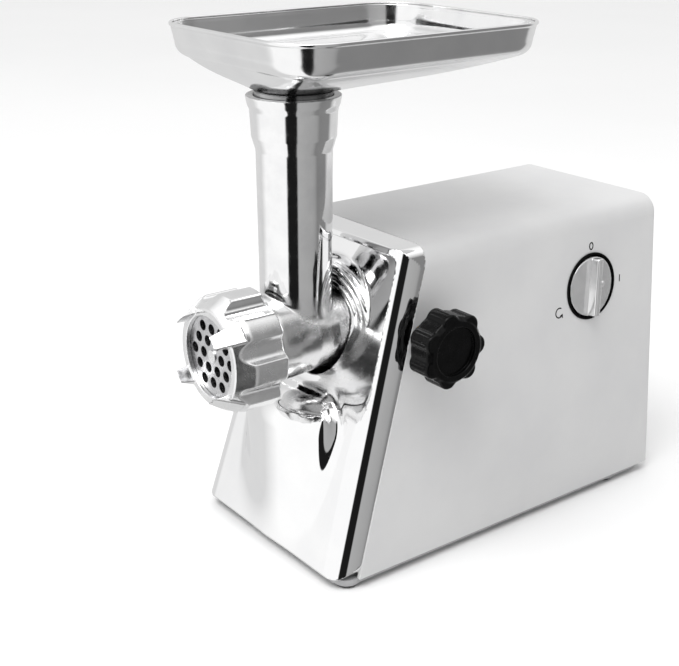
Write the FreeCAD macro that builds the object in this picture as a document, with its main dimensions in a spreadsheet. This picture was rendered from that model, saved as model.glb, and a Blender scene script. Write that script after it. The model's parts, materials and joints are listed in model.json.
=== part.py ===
import FreeCAD, Part
import math
import os
from types import SimpleNamespace

import Sketcher

# Electric meat grinder.
#
# Frame: +Z up, the floor at z = 0, the front (ring nut) towards -Y, the switch and the
# black lock knob on the +X side.  The origin is the centre of the footprint's box, so the
# machine's own mid-plane lies at x = mid_x.  Pieces are drawn about that mid-plane and
# moved by mid_x when they are finished.

# ---------------------------------------------------------------- driving dimensions (mm)

SIZES = {
    # body, seen from the front: a trapezoid with round shoulders
    "mid_x": -10.65,
    "housing_bottom": 7.0,
    "housing_top": 211.5,
    "bottom_half_w": 82.0,
    "top_half_w": 66.8,
    "shoulder_r": 14.0,
    "rear_y": 158.5,
    "front_bottom_y": -140.8,
    "front_top_y": -76.6,
    "wall": 3.0,
    # chromed front panel
    "trim_depth": 19.5,
    "rim_w": 9.0,
    "rim_depth": 11.0,
    "recess_low": 92.0,
    "recess_margin": 5.0,
    "rim_round": 6.0,
    "panel_wall": 2.4,
    "panel_corner_r": 10.0,
    "apron_r": 66.0,
    "apron_y": -69.0,
    "apron_half_w": 46.0,
    "apron_top": 111.0,
    "apron_round": 22.0,
    "hood_r": 46.0,
    "collar_y": -85.5,
    "collar_hole_r": 34.4,
    # grinder head: barrel along Y, feed tube along Z
    "axis_z": 146.6,
    "tube_y": -110.6,
    "tube_top": 302.0,
    "tube_lip_r": 29.4,
    "tube_band_r": 27.2,
    "tube_band_low": 276.8,
    "tube_band_high": 293.4,
    "tube_top_r": 23.8,
    "tube_low_r": 23.3,
    "tube_bore_r": 19.6,
    "throat_low": 172.0,
    "spigot_bore_r": 24.5,
    "spigot_seat_z": 284.0,
    "barrel_r": 26.6,
    "barrel_bore_r": 19.5,
    "barrel_front_r": 31.5,
    "barrel_front_y": -171.0,
    "barrel_step_y": -145.0,
    "neck_r": 26.0,
    "neck_front_y": -84.2,
    "neck_rear_y": -52.0,
    "plate_r": 28.0,
    "plate_front_y": -174.4,
    "plate_thick": 5.0,
    "plate_hole_r": 3.5,
    "plate_pitch": 10.2,
    "pin_r": 4.0,
    "blade_thick": 6.0,
    "auger_r": 19.0,
    "auger_core_r": 8.5,
    "auger_pitch": 24.0,
    "shank_r": 9.0,
    "tang_flats": 13.0,
    # ring nut
    "nut_front_y": -177.6,
    "nut_rear_y": -143.0,
    "nut_r": 38.6,
    "nut_bore_r": 31.8,
    "nut_opening_r": 26.4,
    "nut_cone_r": 31.4,
    "flute_r": 9.0,
    "flute_offset": 4.2,
    "lug_length": 10.2,
    "lug_half_w": 5.5,
    # hopper tray
    "tray_top": 342.4,
    "tray_half_w": 78.3,
    "tray_front_y": -162.8,
    "tray_rear_y": 33.5,
    "tray_depth": 21.0,
    "tray_corner_r": 30.0,
    "tray_sheet": 1.2,
    # lock knob and screw, axis along X
    "lock_y": -64.5,
    "lock_z": 155.8,
    "knob_outer_x": 103.3,
    "knob_thick": 25.0,
    "knob_r": 24.6,
    "lock_screw_r": 4.0,
    # switch, on the sloping +X wall
    "switch_y": 89.5,
    "switch_z": 157.8,
    "switch_r": 22.5,
    # gearbox
    "gearbox_front_y": -47.0,
    "gearbox_rear_y": -5.0,
    "gearbox_left": -50.0,
    "gearbox_right": 61.0,
    "gearbox_low": 50.0,
    "gearbox_high": 191.0,
    "gearbox_wall": 3.0,
    # motor, axis along Y
    "motor_z": 66.0,
    "stator_front_y": 32.0,
    "stator_rear_y": 86.0,
    "stator_half_w": 38.0,
    "stator_half_tall": 32.0,
    "stator_bore_r": 21.5,
    "rotor_r": 20.8,
    "motor_shaft_r": 4.0,
    "commutator_r": 11.0,
    # cord gland in the rear wall
    "gland_x": -45.0,
    "gland_z": 42.0,
    "gland_bore_r": 3.6,
    "gland_reach": 29.3,
    # feet
    "foot_r": 8.0,
    "foot_x": 70.0,
    "foot_front_y": -123.0,
    "foot_rear_y": 118.7,
    "base_low": 3.4,
}

# Gear train: module (mm) and tooth counts of each stage, from the motor to the output
STAGES = (
    SimpleNamespace(module=1.0, pinion=12, wheel=60, front=-14.0, rear=-6.0),
    SimpleNamespace(module=1.25, pinion=12, wheel=48, front=-26.0, rear=-16.0),
    SimpleNamespace(module=1.5, pinion=14, wheel=49, front=-42.0, rear=-28.0),
)
SECOND_SHAFT_ANGLE = -60.0     # direction of the second shaft from the output shaft
PRESSURE_ANGLE = math.radians(25.0)
ADDENDUM = 0.9
DEDENDUM = 1.15
BACKLASH = 0.12                # taken off each tooth's thickness, mm

LUG_ANGLE = 40.0               # first ear of the ring nut, from +X towards +Z

FAR = 400.0                    # longer than the machine, for cutting right through

doc = FreeCAD.newDocument("meat_grinder")
sheet = doc.addObject("Spreadsheet::Sheet", "Sizes")
for row, (alias, value) in enumerate(SIZES.items(), start=1):
    sheet.set("A%d" % row, alias)
    sheet.set("B%d" % row, str(value))
    sheet.setAlias("B%d" % row, alias)
doc.recompute()


# ------------------------------------------------------------------------------ numbers

class Size:
    """A number together with the sheet expression that it comes from."""

    def __init__(self, value, text):
        self.value = value
        self.text = text

    def __add__(self, other):
        other = as_size(other)
        return Size(self.value + other.value, "(%s + %s)" % (self.text, other.text))

    def __sub__(self, other):
        other = as_size(other)
        return Size(self.value - other.value, "(%s - %s)" % (self.text, other.text))

    def __mul__(self, other):
        other = as_size(other)
        return Size(self.value * other.value, "(%s * %s)" % (self.text, other.text))

    def __truediv__(self, other):
        other = as_size(other)
        return Size(self.value / other.value, "(%s / %s)" % (self.text, other.text))

    def __neg__(self):
        return Size(-self.value, "(0 - %s)" % self.text)

    def __radd__(self, other):
        return as_size(other) + self

    def __rsub__(self, other):
        return as_size(other) - self

    def __rmul__(self, other):
        return as_size(other) * self


def as_size(number):
    """Numbers that aren't in the sheet become constant expressions."""
    if isinstance(number, Size):
        return number
    return Size(float(number), "(%.6f)" % number)


d = SimpleNamespace(**{alias: Size(sheet.get(alias), "Sizes." + alias) for alias in SIZES})

taper = (d.bottom_half_w - d.top_half_w) / (d.housing_top - d.housing_bottom)
lean = (d.front_top_y - d.front_bottom_y) / (d.housing_top - d.housing_bottom)
side_angle = math.degrees(math.atan(taper.value))


def half_width(z):
    """Half of the housing's outer width at height z."""
    return d.bottom_half_w - (z - d.housing_bottom) * taper


def front_y(z):
    """Where the slanted front lies at height z."""
    return d.front_bottom_y + (z - d.housing_bottom) * lean


# ------------------------------------------------------------------------- document tools

NODES = {}


def bind(item, path, size):
    item.setExpression(path, as_size(size).text)


def keep(item, label, at=(0, 0, 0), turn=(0, 0, 1, 0)):
    """Name a finished sub-part and put it in its place; at is about the mid-plane."""
    item.Label = label
    place(item, (d.mid_x + at[0], at[1], at[2]), turn)
    NODES[label] = item
    return item


def place(item, at, turn=(0, 0, 1, 0)):
    """turn is an axis and an angle in degrees."""
    axis = FreeCAD.Vector(*turn[:3])
    item.Placement = FreeCAD.Placement(FreeCAD.Vector(0, 0, 0), FreeCAD.Rotation(axis, turn[3]))
    for letter, size in zip("xyz", at):
        bind(item, "Placement.Base." + letter, size)


def new_body(name):
    return doc.addObject("PartDesign::Body", name)


def circle(radius, at=(0, 0)):
    return ("circle", radius, at)


def rectangle(low, high):
    return [low, (high[0], low[1]), high, (low[0], high[1])]


def pin_coordinate(sketch, kind, geometry, point, size):
    """Hold one coordinate of a sketch point at a size, or on the axis when it is zero."""
    size = as_size(size)
    if abs(size.value) < 1e-9:
        axis = -2 if kind == "DistanceX" else -1
        sketch.addConstraint(Sketcher.Constraint("PointOnObject", geometry, point, axis))
        return
    number = sketch.addConstraint(Sketcher.Constraint(kind, -1, 1, geometry, point, size.value))
    sketch.setExpression("Constraints[%d]" % number, size.text)


def add_circle(sketch, radius, at):
    radius = as_size(radius)
    centre = FreeCAD.Vector(as_size(at[0]).value, as_size(at[1]).value, 0)
    geometry = sketch.addGeometry(Part.Circle(centre, FreeCAD.Vector(0, 0, 1), radius.value), False)
    pin_coordinate(sketch, "DistanceX", geometry, 3, at[0])
    pin_coordinate(sketch, "DistanceY", geometry, 3, at[1])
    number = sketch.addConstraint(Sketcher.Constraint("Radius", geometry, radius.value))
    sketch.setExpression("Constraints[%d]" % number, radius.text)


def add_polygon(sketch, points):
    count = len(points)
    values = [FreeCAD.Vector(as_size(x).value, as_size(y).value, 0) for x, y in points]
    first = sketch.GeometryCount
    for i in range(count):
        sketch.addGeometry(Part.LineSegment(values[i], values[(i + 1) % count]), False)
    for i in range(count):
        following = first + (i + 1) % count
        sketch.addConstraint(Sketcher.Constraint("Coincident", first + i, 2, following, 1))
    for i, (x, y) in enumerate(points):
        pin_coordinate(sketch, "DistanceX", first + i, 1, x)
        pin_coordinate(sketch, "DistanceY", first + i, 1, y)


def draw(body, role, loops):
    """A sketch on one of the body's own origin planes."""
    sketch = body.newObject("Sketcher::SketchObject", body.Name + "_sketch")
    plane = next(f for f in body.Origin.OriginFeatures if f.Role == role)
    sketch.AttachmentSupport = [(plane, "")]
    sketch.MapMode = "FlatFace"
    for loop in loops:
        if loop[0] == "circle":
            add_circle(sketch, loop[1], loop[2])
        else:
            add_polygon(sketch, loop)
    return sketch


def extrude(body, kind, role, loops, along, against):
    """Pad or Pocket a sketch both ways from its plane."""
    feature = body.newObject("PartDesign::" + kind, body.Name + "_" + kind.lower())
    feature.Profile = draw(body, role, loops)
    feature.SideType = "Two sides"
    bind(feature, "Length", along)
    bind(feature, "Length2", against)
    body.Tip = feature
    return feature


def pad_up(body, loops, low, high):
    """Pad an XY outline between two heights (either may be below zero)."""
    return extrude(body, "Pad", "XY_Plane", loops, high, -as_size(low))


def pad_y(body, loops, front, rear):
    """Pad an XZ outline from y = front to y = rear; the sketch's normal is -Y."""
    return extrude(body, "Pad", "XZ_Plane", loops, -as_size(front), rear)


def pad_x(body, loops, low, high):
    return extrude(body, "Pad", "YZ_Plane", loops, high, -as_size(low))


def cut_y(body, loops, front, rear):
    """Pocket an XZ outline from y = front to y = rear; a pocket runs against the normal."""
    return extrude(body, "Pocket", "XZ_Plane", loops, rear, -as_size(front))


def cut_z(body, loops, low, high):
    return extrude(body, "Pocket", "XY_Plane", loops, -as_size(low), high)


def cut_x(body, loops, low, high):
    return extrude(body, "Pocket", "YZ_Plane", loops, -as_size(low), high)


def spin(body, kind, role, loop, axis):
    """Revolution or Groove of a profile about a sketch axis."""
    sketch = draw(body, role, [loop])
    feature = body.newObject("PartDesign::" + kind, body.Name + "_" + kind.lower())
    feature.Profile = sketch
    feature.ReferenceAxis = (sketch, [axis])
    feature.Angle = 360.0
    body.Tip = feature
    return feature


def turned_y(name, profile):
    """A body turned about Y; the profile's points are (radius, y)."""
    body = new_body(name)
    spin(body, "Revolution", "XY_Plane", profile, "V_Axis")
    return body


def turned_z(name, profile):
    """A body turned about Z; the profile's points are (radius, z)."""
    body = new_body(name)
    spin(body, "Revolution", "XZ_Plane", profile, "V_Axis")
    return body


def turned_x(name, profile):
    """A body turned about X; the profile's points are (x, radius)."""
    body = new_body(name)
    spin(body, "Revolution", "XY_Plane", profile, "H_Axis")
    return body


def repeat_round(body, feature, role, count):
    """Repeat the last feature in a circle about the normal of an origin plane."""
    pattern = body.newObject("PartDesign::PolarPattern", body.Name + "_pattern")
    axis = next(f for f in body.Origin.OriginFeatures if f.Role == role)
    pattern.Originals = [feature]
    pattern.Axis = (axis, [""])
    pattern.Angle = 360.0
    pattern.Occurrences = count
    body.Tip = pattern
    return pattern


def dress(body, kind, size, wanted):
    """Fillet or Chamfer the edges of the body that wanted(edge) picks."""
    doc.recompute()
    base = body.Tip
    names = ["Edge%d" % n for n, edge in enumerate(base.Shape.Edges, start=1) if wanted(edge)]
    if not names:
        raise ValueError("no edge to dress on " + body.Name)
    feature = body.newObject("PartDesign::" + kind, body.Name + "_" + kind.lower())
    feature.Base = (base, names)
    bind(feature, "Radius" if kind == "Fillet" else "Size", size)
    body.Tip = feature
    return feature


def box(name, low, high):
    item = doc.addObject("Part::Box", name)
    for prop, a, b in zip(("Length", "Width", "Height"), low, high):
        bind(item, prop, as_size(b) - a)
    place(item, low)
    return item


AXIS_TURNS = {"x": (0, 1, 0, 90), "y": (1, 0, 0, -90), "z": (0, 0, 1, 0)}


def cylinder(name, radius, length, at, axis="z"):
    item = doc.addObject("Part::Cylinder", name)
    bind(item, "Radius", radius)
    bind(item, "Height", length)
    place(item, at, AXIS_TURNS[axis])
    return item


def fuse(name, items):
    item = doc.addObject("Part::MultiFuse", name)
    item.Shapes = items
    item.Refine = True
    return item


def cut(name, base, tools):
    item = doc.addObject("Part::Cut", name)
    item.Base = base
    item.Tool = tools[0] if len(tools) == 1 else fuse(name + "_tools", tools)
    item.Refine = True
    return item


def group(name, items):
    item = doc.addObject("Part::Compound", name)
    item.Links = items
    return item


def screw(name, at, axis, shank_r, shank, head_r, head, sign=1):
    """A pan-head screw: at is under the head, and the shank runs along sign * axis."""
    turn = {"x": (0, 1, 0, 90 * sign), "y": (1, 0, 0, -90 * sign), "z": (1, 0, 0, 90 - 90 * sign)}[axis]
    body = turned_z(name, [(0, -head), (head_r * 0.75, -head), (head_r, -head * 0.6), (head_r, 0),
                           (shank_r, 0), (shank_r, shank), (0, shank)])
    place(body, at, turn)
    return body


def along(edge, axis):
    """True where an edge is straight and parallel to a coordinate axis."""
    if edge.Curve.TypeId != "Part::GeomLine":
        return False
    return abs(abs(getattr(edge.Curve.Direction, axis)) - 1.0) < 1e-6


def middle(edge):
    return edge.valueAt((edge.FirstParameter + edge.LastParameter) / 2)


# -------------------------------------------------------------------- housing and panel

def slanted_block(name, inset, low, front, back, top_r, low_r, rear=None):
    """The body's section, drawn in by inset, behind one slanted plane and before another.

    front and back are distances behind the slanted front.  With rear the block runs to
    that flat rear face instead of to a second slanted plane.
    """
    body = new_body(name)
    high = d.housing_top - inset
    wide = half_width(low) - inset
    narrow = half_width(high) - inset
    outline = [(-wide, low), (wide, low), (narrow, high), (-narrow, high)]
    pad_y(body, [outline], -FAR / 2, FAR / 2 if rear is None else rear)
    rounds = ((top_r, lambda e: middle(e).z > high.value - 1),
              (low_r, lambda e: middle(e).z < as_size(low).value + 1))
    for radius, near in rounds:
        if radius is not None:
            dress(body, "Fillet", radius, lambda e: along(e, "y") and near(e))
    under = as_size(low) - 20
    over = high + 20
    if front is not None:
        edge = [(-FAR, under), (front_y(under) + front, under), (front_y(over) + front, over), (-FAR, over)]
        cut_x(body, [edge], -FAR, FAR)
    if back is not None:
        edge = [(front_y(under) + back, under), (FAR, under), (FAR, over), (front_y(over) + back, over)]
        cut_x(body, [edge], -FAR, FAR)
    return body


def make_housing():
    outer = slanted_block("housing_outer", 0, d.housing_bottom, d.trim_depth, None,
                          d.shoulder_r, None, rear=d.rear_y)
    dress(outer, "Fillet", 5.0, lambda e: abs(middle(e).y - d.rear_y.value) < 0.01
          and middle(e).z > d.housing_bottom.value + 1)
    core = slanted_block("housing_core", d.wall, d.housing_bottom - 5, None, None,
                         d.shoulder_r - d.wall, None, rear=d.rear_y - d.wall)
    wall_x = half_width(d.switch_z)
    inside = 20.0
    switch_hole = cylinder("switch_hole", d.switch_r + 0.3, 2 * inside,
                           (wall_x - inside, d.switch_y, d.switch_z - inside * taper), "x")
    switch_hole.Placement.Rotation = FreeCAD.Rotation(FreeCAD.Vector(0, 1, 0), 90 - side_angle)
    lock_hole = cylinder("lock_hole", 8.5, 60, (50, d.lock_y, d.lock_z), "x")
    gland_hole = cylinder("gland_hole", d.gland_bore_r + 4.2, 20, (d.gland_x, d.rear_y - 10, d.gland_z), "y")
    slots = [box("rear_slot_%d" % n, (-22 + 9 * n, d.rear_y - 10, 60), (-18 + 9 * n, d.rear_y + 5, 96))
             for n in range(7)]
    shell = cut("housing_walls", outer, [core, switch_hole, lock_hole, gland_hole] + slots)
    keep(fuse("housing", [shell] + screw_posts()), "housing_shell")


def face_y(z, depth):
    """A depth behind the panel's face, which leans away from the slanted front above recess_low."""
    extra = (z - d.recess_low) * (d.rim_depth / (d.housing_top - d.recess_low))
    return front_y(z) + extra + depth


def make_front_panel():
    low = d.housing_bottom
    over = d.housing_top + 20
    outer = slanted_block("panel_outer", 0, low, 0, d.trim_depth, d.shoulder_r, d.panel_corner_r)

    def on_front(edge):
        point = middle(edge)
        return abs(point.y - front_y(point.z).value) < 0.01

    dress(outer, "Fillet", d.rim_round, on_front)
    # The recess round the head grows deeper towards the top
    recess = new_body("panel_recess")
    recess_top = d.housing_top - d.recess_margin
    wide = half_width(d.recess_low) - d.rim_w
    narrow = half_width(recess_top) - d.rim_w
    outline = [(-wide, d.recess_low), (wide, d.recess_low), (narrow, recess_top), (-narrow, recess_top)]
    pad_y(recess, [outline], -FAR / 2, 0)
    dress(recess, "Fillet", 6.0, lambda e: along(e, "y") and middle(e).z > recess_top.value - 1)
    start = (front_y(d.recess_low), d.recess_low)
    under = d.recess_low - 20
    cut_x(recess, [[start, (face_y(over, 0), over), (FAR, over), (FAR, under), (start[0], under)]], -FAR, FAR)
    skin = d.panel_wall
    hollow = slanted_block("panel_hollow", skin, low + skin, skin, d.trim_depth + 10,
                           d.shoulder_r - skin, d.panel_corner_r - skin)
    back_start = (start[0] + skin, d.recess_low)
    back_end = (face_y(over, skin), over)
    cut_x(hollow, [[(-FAR, d.recess_low), back_start, back_end, (-FAR, over)]], -FAR, FAR)
    behind = new_body("panel_behind")
    pad_x(behind, [[(front_y(0) + skin, 0), back_start, back_end, (FAR, over), (FAR, 0)]], -FAR, FAR)
    # The apron is an upright bulge that runs out where the slanted face meets it
    apron = apron_form("apron", 0, 8)
    apron_core = apron_form("apron_core", skin, 24)
    hood = turned_y("hood", [(0, d.collar_y), (d.hood_r - 2.5, d.collar_y), (d.hood_r, d.collar_y + 2.5),
                             (d.hood_r, 0), (0, 0)])
    place(hood, (0, 0, d.axis_z))
    bulges = cut("panel_bulges", fuse("apron_and_hood", [apron, hood]), [behind])
    tray = cut("panel_tray", outer, [recess, hollow])
    mouth = cylinder("collar_hole", d.collar_hole_r, 80, (0, d.collar_y - 20, d.axis_z), "y")
    panel = cut("panel", fuse("panel_solid", [tray, bulges]), [apron_core, mouth])
    keep(panel, "front_panel")


def apron_form(name, inset, low):
    """The apron's round front between two upright sides, drawn in by inset."""
    radius = d.apron_r - inset
    top = d.apron_top - inset
    form = turned_z(name, [(0, low), (radius, low), (radius, top), (0, top)])
    dress(form, "Fillet", d.apron_round - inset,
          lambda e: middle(e).z > top.value - 0.01 and e.Curve.TypeId == "Part::GeomCircle")
    side = d.apron_half_w - inset
    cut_z(form, [rectangle((side, -100), (100, 100)), rectangle((-100, -100), (-side, 100))], 0, FAR)
    place(form, (0, d.apron_y, 0))
    return form


def make_base():
    low = d.base_low
    lip_low = d.housing_bottom - 0.2
    body = new_body("base")
    wide = d.bottom_half_w - 2.5
    front = d.front_bottom_y + 7
    rear = d.rear_y - 7
    pad_up(body, [rectangle((-wide, front), (wide, rear))], low, lip_low)
    dress(body, "Fillet", 12.0, lambda e: along(e, "z"))
    inner = d.bottom_half_w - d.wall - 1.2
    inner_front = d.front_bottom_y + d.trim_depth + 3
    pad_up(body, [rectangle((-inner, inner_front), (inner, d.rear_y - d.wall - 0.4))],
           lip_low - 0.5, lip_low + 3)
    for n in range(8):
        x = -42 + 12 * n
        cut_z(body, [rectangle((x, 40), (x + 5, 104))], 0, 30)
    for x in (-d.foot_x, d.foot_x):
        for y in (d.foot_front_y, d.foot_rear_y):
            pad_up(body, [circle(d.foot_r + 1.2, (x, y))], 2.4, low + 0.5)
            cut_z(body, [circle(2.6, (x, y))], 0, 30)
    for x, y in base_screw_places():
        cut_z(body, [circle(2.0, (x, y))], 0, 30)
        cut_z(body, [circle(4.2, (x, y))], 0, low + 1.4)
    keep(body, "base_plate")


def base_screw_places():
    side = d.bottom_half_w - 16
    return [(side, 12.0), (-side, 12.0), (side, 92.0), (-side, 92.0)]


def make_base_fittings():
    feet = []
    for side in (-1, 1):
        for y in (d.foot_front_y, d.foot_rear_y):
            foot = turned_z("foot_%d" % len(feet), [
                (0, 0), (d.foot_r - 1, 0), (d.foot_r, 1), (d.foot_r, 2.4), (2.5, 2.4), (2.5, 6.4), (0, 6.4)])
            place(foot, (d.foot_x * side, y, 0))
            feet.append(foot)
    keep(group("feet", feet), "rubber_feet")
    seat = d.base_low + 1.4
    screws = [screw("base_screw_%d" % n, (x, y, seat), "z", 1.8, 14, 3.6, 1.3)
              for n, (x, y) in enumerate(base_screw_places())]
    keep(group("base_screw_group", screws), "base_screws")


def screw_posts():
    """Moulded posts for the base screws, each on a rib that joins it to the side wall."""
    foot = d.housing_bottom + 3.2
    top = d.housing_bottom + 22
    posts = []
    for n, (x, y) in enumerate(base_screw_places()):
        side = 1 if as_size(x).value > 0 else -1
        wall_x = (half_width(top) - d.wall / 2) * side
        near = as_size(x) + 2.5 * side
        low_x, high_x = (near, wall_x) if side > 0 else (wall_x, near)
        rib = box("post_rib_%d" % n, (low_x, as_size(y) - 1.5, foot), (high_x, as_size(y) + 1.5, top))
        post = turned_z("post_%d" % n, [(1.8, foot), (4.5, foot), (4.5, top), (1.8, top)])
        place(post, (x, y, 0))
        posts += [rib, post]
    return posts


# ----------------------------------------------------------------------- grinder head

def make_grinder_head():
    tube = turned_z("tube", [
        (0, d.axis_z), (d.tube_low_r, d.axis_z), (d.tube_low_r, d.axis_z + 50),
        (d.tube_top_r, d.tube_band_low - 8), (d.tube_band_r - 0.8, d.tube_band_low),
        (d.tube_band_r, d.tube_band_high), (d.tube_lip_r - 0.8, d.tube_band_high + 3.4),
        (d.tube_lip_r, d.tube_top - 1), (d.tube_lip_r - 1, d.tube_top), (0, d.tube_top)])
    place(tube, (0, d.tube_y, 0))
    barrel = turned_y("barrel", [
        (0, d.barrel_front_y), (d.barrel_front_r, d.barrel_front_y), (d.barrel_front_r, d.barrel_step_y),
        (d.barrel_r + 1.4, d.barrel_step_y + 5), (d.barrel_r + 1.2, -125), (d.barrel_r, -108),
        (d.barrel_r - 0.6, -99), (d.barrel_r - 0.4, -92), (d.neck_r + 1.4, d.neck_front_y - 4),
        (d.neck_r + 1.6, d.neck_front_y - 0.8),
        (d.neck_r + 1.6, d.neck_front_y + 1.6), (d.neck_r, d.neck_front_y + 2.2),
        (d.neck_r, d.neck_rear_y - 1.5), (d.neck_r - 1.5, d.neck_rear_y), (0, d.neck_rear_y)])
    place(barrel, (0, 0, d.axis_z))
    # Plate and blade seat, auger bore, bushing seat and the hole for the auger's shank
    bore = turned_y("barrel_bore", [
        (0, -200), (d.plate_r + 0.3, -200), (d.plate_r + 0.3, -162), (d.barrel_bore_r, -158),
        (d.barrel_bore_r, -90), (13.2, -84), (13.2, d.neck_rear_y + 5), (0, d.neck_rear_y + 5)])
    place(bore, (0, 0, d.axis_z))
    # The throat narrows a little where it opens into the barrel
    throat = turned_z("throat", [
        (0, d.axis_z), (d.tube_bore_r - 0.5, d.axis_z), (d.tube_bore_r - 0.5, d.throat_low),
        (d.tube_bore_r, d.throat_low), (d.tube_bore_r, d.spigot_seat_z - 4),
        (d.spigot_bore_r, d.spigot_seat_z), (d.spigot_bore_r, d.tube_top + 5), (0, d.tube_top + 5)])
    place(throat, (0, d.tube_y, 0))
    notch = box("plate_notch", (-2.1, d.barrel_front_y - 5, d.axis_z + d.plate_r - 2),
                (2.1, d.barrel_front_y + 6, d.axis_z + d.plate_r + 2.2))
    head = cut("head", fuse("head_solid", [tube, barrel]), [bore, throat, notch])
    keep(head, "grinder_head")


def make_auger():
    flight = new_body("auger_body")
    front = -158.0
    rear = -92.0
    # The core grows towards the blade
    spin(flight, "Revolution", "XY_Plane", [
        (0, front), (d.auger_core_r + 2, front), (d.auger_core_r, rear), (d.shank_r + 3.6, rear + 1),
        (d.shank_r + 3.6, rear + 7), (d.shank_r, rear + 7), (d.shank_r, d.neck_rear_y - 2),
        (0, d.neck_rear_y - 2)], "V_Axis")
    blade_section = [(5.0, rear - 4), (d.auger_r, rear - 3.0), (d.auger_r, rear - 0.6), (5.0, rear)]
    thread = draw(flight, "XY_Plane", [blade_section])
    helix = flight.newObject("PartDesign::AdditiveHelix", "auger_helix")
    helix.Profile = thread
    helix.ReferenceAxis = (thread, ["V_Axis"])
    helix.Mode = "pitch-height-angle"
    bind(helix, "Pitch", d.auger_pitch)
    helix.Height = rear - front - 6.0
    helix.Reversed = True
    flight.Tip = helix
    # Square for the blade, then the pin that runs in the plate
    blade_front = d.plate_front_y + d.plate_thick
    pad_y(flight, [rectangle((-5, -5), (5, 5))], blade_front + 0.2, front + 1)
    pad_y(flight, [circle(d.pin_r)], d.plate_front_y - 0.8, blade_front + 1)
    # Hexagonal tang that plugs into the output spindle
    corner = d.tang_flats / math.sqrt(3)
    hexagon = [(corner * math.cos(math.radians(60 * n)), corner * math.sin(math.radians(60 * n)))
               for n in range(6)]
    pad_y(flight, [hexagon], d.neck_rear_y - 3, -36.5)
    keep(flight, "auger", (0, 0, d.axis_z))
    washer = turned_y("washer", [(d.shank_r + 0.05, -83.6), (13.1, -83.6), (13.1, d.neck_rear_y),
                                 (d.shank_r + 0.05, d.neck_rear_y)])
    keep(washer, "auger_bushing", (0, 0, d.axis_z))


def make_cutting_parts():
    rear = d.plate_front_y + d.plate_thick
    blade = new_body("blade")
    pad_y(blade, [circle(9.5)], rear + 0.05, rear + d.blade_thick)
    arm_outline = [(4, -4.5), (25, -1.5), (25.5, 2.5), (4, 5.5)]
    arm = pad_y(blade, [arm_outline], rear + 0.05, rear + d.blade_thick - 1)
    repeat_round(blade, arm, "Y_Axis", 4)
    cut_y(blade, [rectangle((-5.05, -5.05), (5.05, 5.05))], rear - 5, rear + 20)
    keep(blade, "cutter_blade", (0, 0, d.axis_z))

    plate = new_body("plate")
    pad_y(plate, [circle(d.plate_r)], d.plate_front_y, rear)
    pad_y(plate, [rectangle((-1.9, d.plate_r - 2), (1.9, d.plate_r + 1.9))], d.plate_front_y + 0.5, rear)
    holes = [circle(d.pin_r + 0.05)]
    height = math.sqrt(3) / 2
    for a in range(-2, 3):
        for b in range(-2, 3):
            across = a + b / 2
            up = b * height
            if (a, b) != (0, 0) and math.hypot(across, up) < 2.05:
                holes.append(circle(d.plate_hole_r, (d.plate_pitch * across, d.plate_pitch * up)))
    cut_y(plate, holes, d.plate_front_y - 5, rear + 5)
    keep(plate, "grinding_plate", (0, 0, d.axis_z))


def make_ring_nut():
    front = d.nut_front_y
    lip_rear = d.plate_front_y - 0.05
    nut = turned_y("nut", [
        (d.nut_opening_r, front + 0.6), (d.nut_opening_r + 0.6, front), (d.nut_cone_r, front),
        (d.nut_r, front + 11.5), (d.nut_r, d.nut_rear_y - 2.5), (d.nut_r - 2.6, d.nut_rear_y),
        (d.nut_opening_r, d.nut_rear_y)])
    # Eight flutes leave eight grip lobes, and every other lobe carries an ear
    turn = math.radians(LUG_ANGLE + 22.5)
    away = d.nut_r + d.flute_offset
    flute = cut_y(nut, [circle(d.flute_r, (away * math.cos(turn), away * math.sin(turn)))], -FAR, 0)
    repeat_round(nut, flute, "Y_Axis", 8)
    lug = new_body("lug_body")
    tip = front - d.lug_length
    claw = [(front + 7, d.nut_r - 2.2), (tip + 1.5, d.nut_opening_r + 5.2), (tip, d.nut_opening_r + 3.8),
            (tip + 0.6, d.nut_opening_r + 1.2), (front + 1, d.nut_opening_r + 0.8),
            (front + 7, d.nut_opening_r + 4)]
    pad_x(lug, [claw], -d.lug_half_w, d.lug_half_w)
    dress(lug, "Chamfer", 2.4, lambda e: not along(e, "z") and abs(middle(e).y - tip.value - 1.0) < 0.8
          and abs(abs(middle(e).x) - d.lug_half_w.value) < 0.01)
    repeat_round(lug, lug.Tip, "Y_Axis", 4)
    place(lug, (0, 0, 0), (0, 1, 0, 90 - LUG_ANGLE))
    bore = turned_y("nut_bore", [(0, lip_rear), (d.nut_bore_r, lip_rear), (d.nut_bore_r, 0), (0, 0)])
    keep(cut("ring_nut_solid", fuse("ring_nut_blank", [nut, lug]), [bore]), "ring_nut", (0, 0, d.axis_z))


# --------------------------------------------------------------------------- hopper tray

def rounded_wire(x, front, rear, radius, z):
    """A rounded rectangle in eight edges, from the middle of the plus X side."""
    radius = min(radius, x - 0.01, (rear - front) / 2 - 0.01)
    quarter = math.sqrt(0.5)
    corners = [(x, rear, 1, 1), (-x, rear, -1, 1), (-x, front, -1, -1), (x, front, 1, -1)]
    edges = []
    points = []
    for cx, cy, sx, sy in corners:
        ox = cx - sx * radius
        oy = cy - sy * radius
        start = (cx, oy) if sx * sy > 0 else (ox, cy)
        end = (ox, cy) if sx * sy > 0 else (cx, oy)
        mid = (ox + sx * radius * quarter, oy + sy * radius * quarter)
        points.append([FreeCAD.Vector(p[0], p[1], z) for p in (start, mid, end)])
    for n in range(4):
        start, mid, end = points[n]
        edges.append(Part.Arc(start, mid, end).toShape())
        edges.append(Part.LineSegment(end, points[(n + 1) % 4][0]).toShape())
    return Part.Wire(edges)


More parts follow.
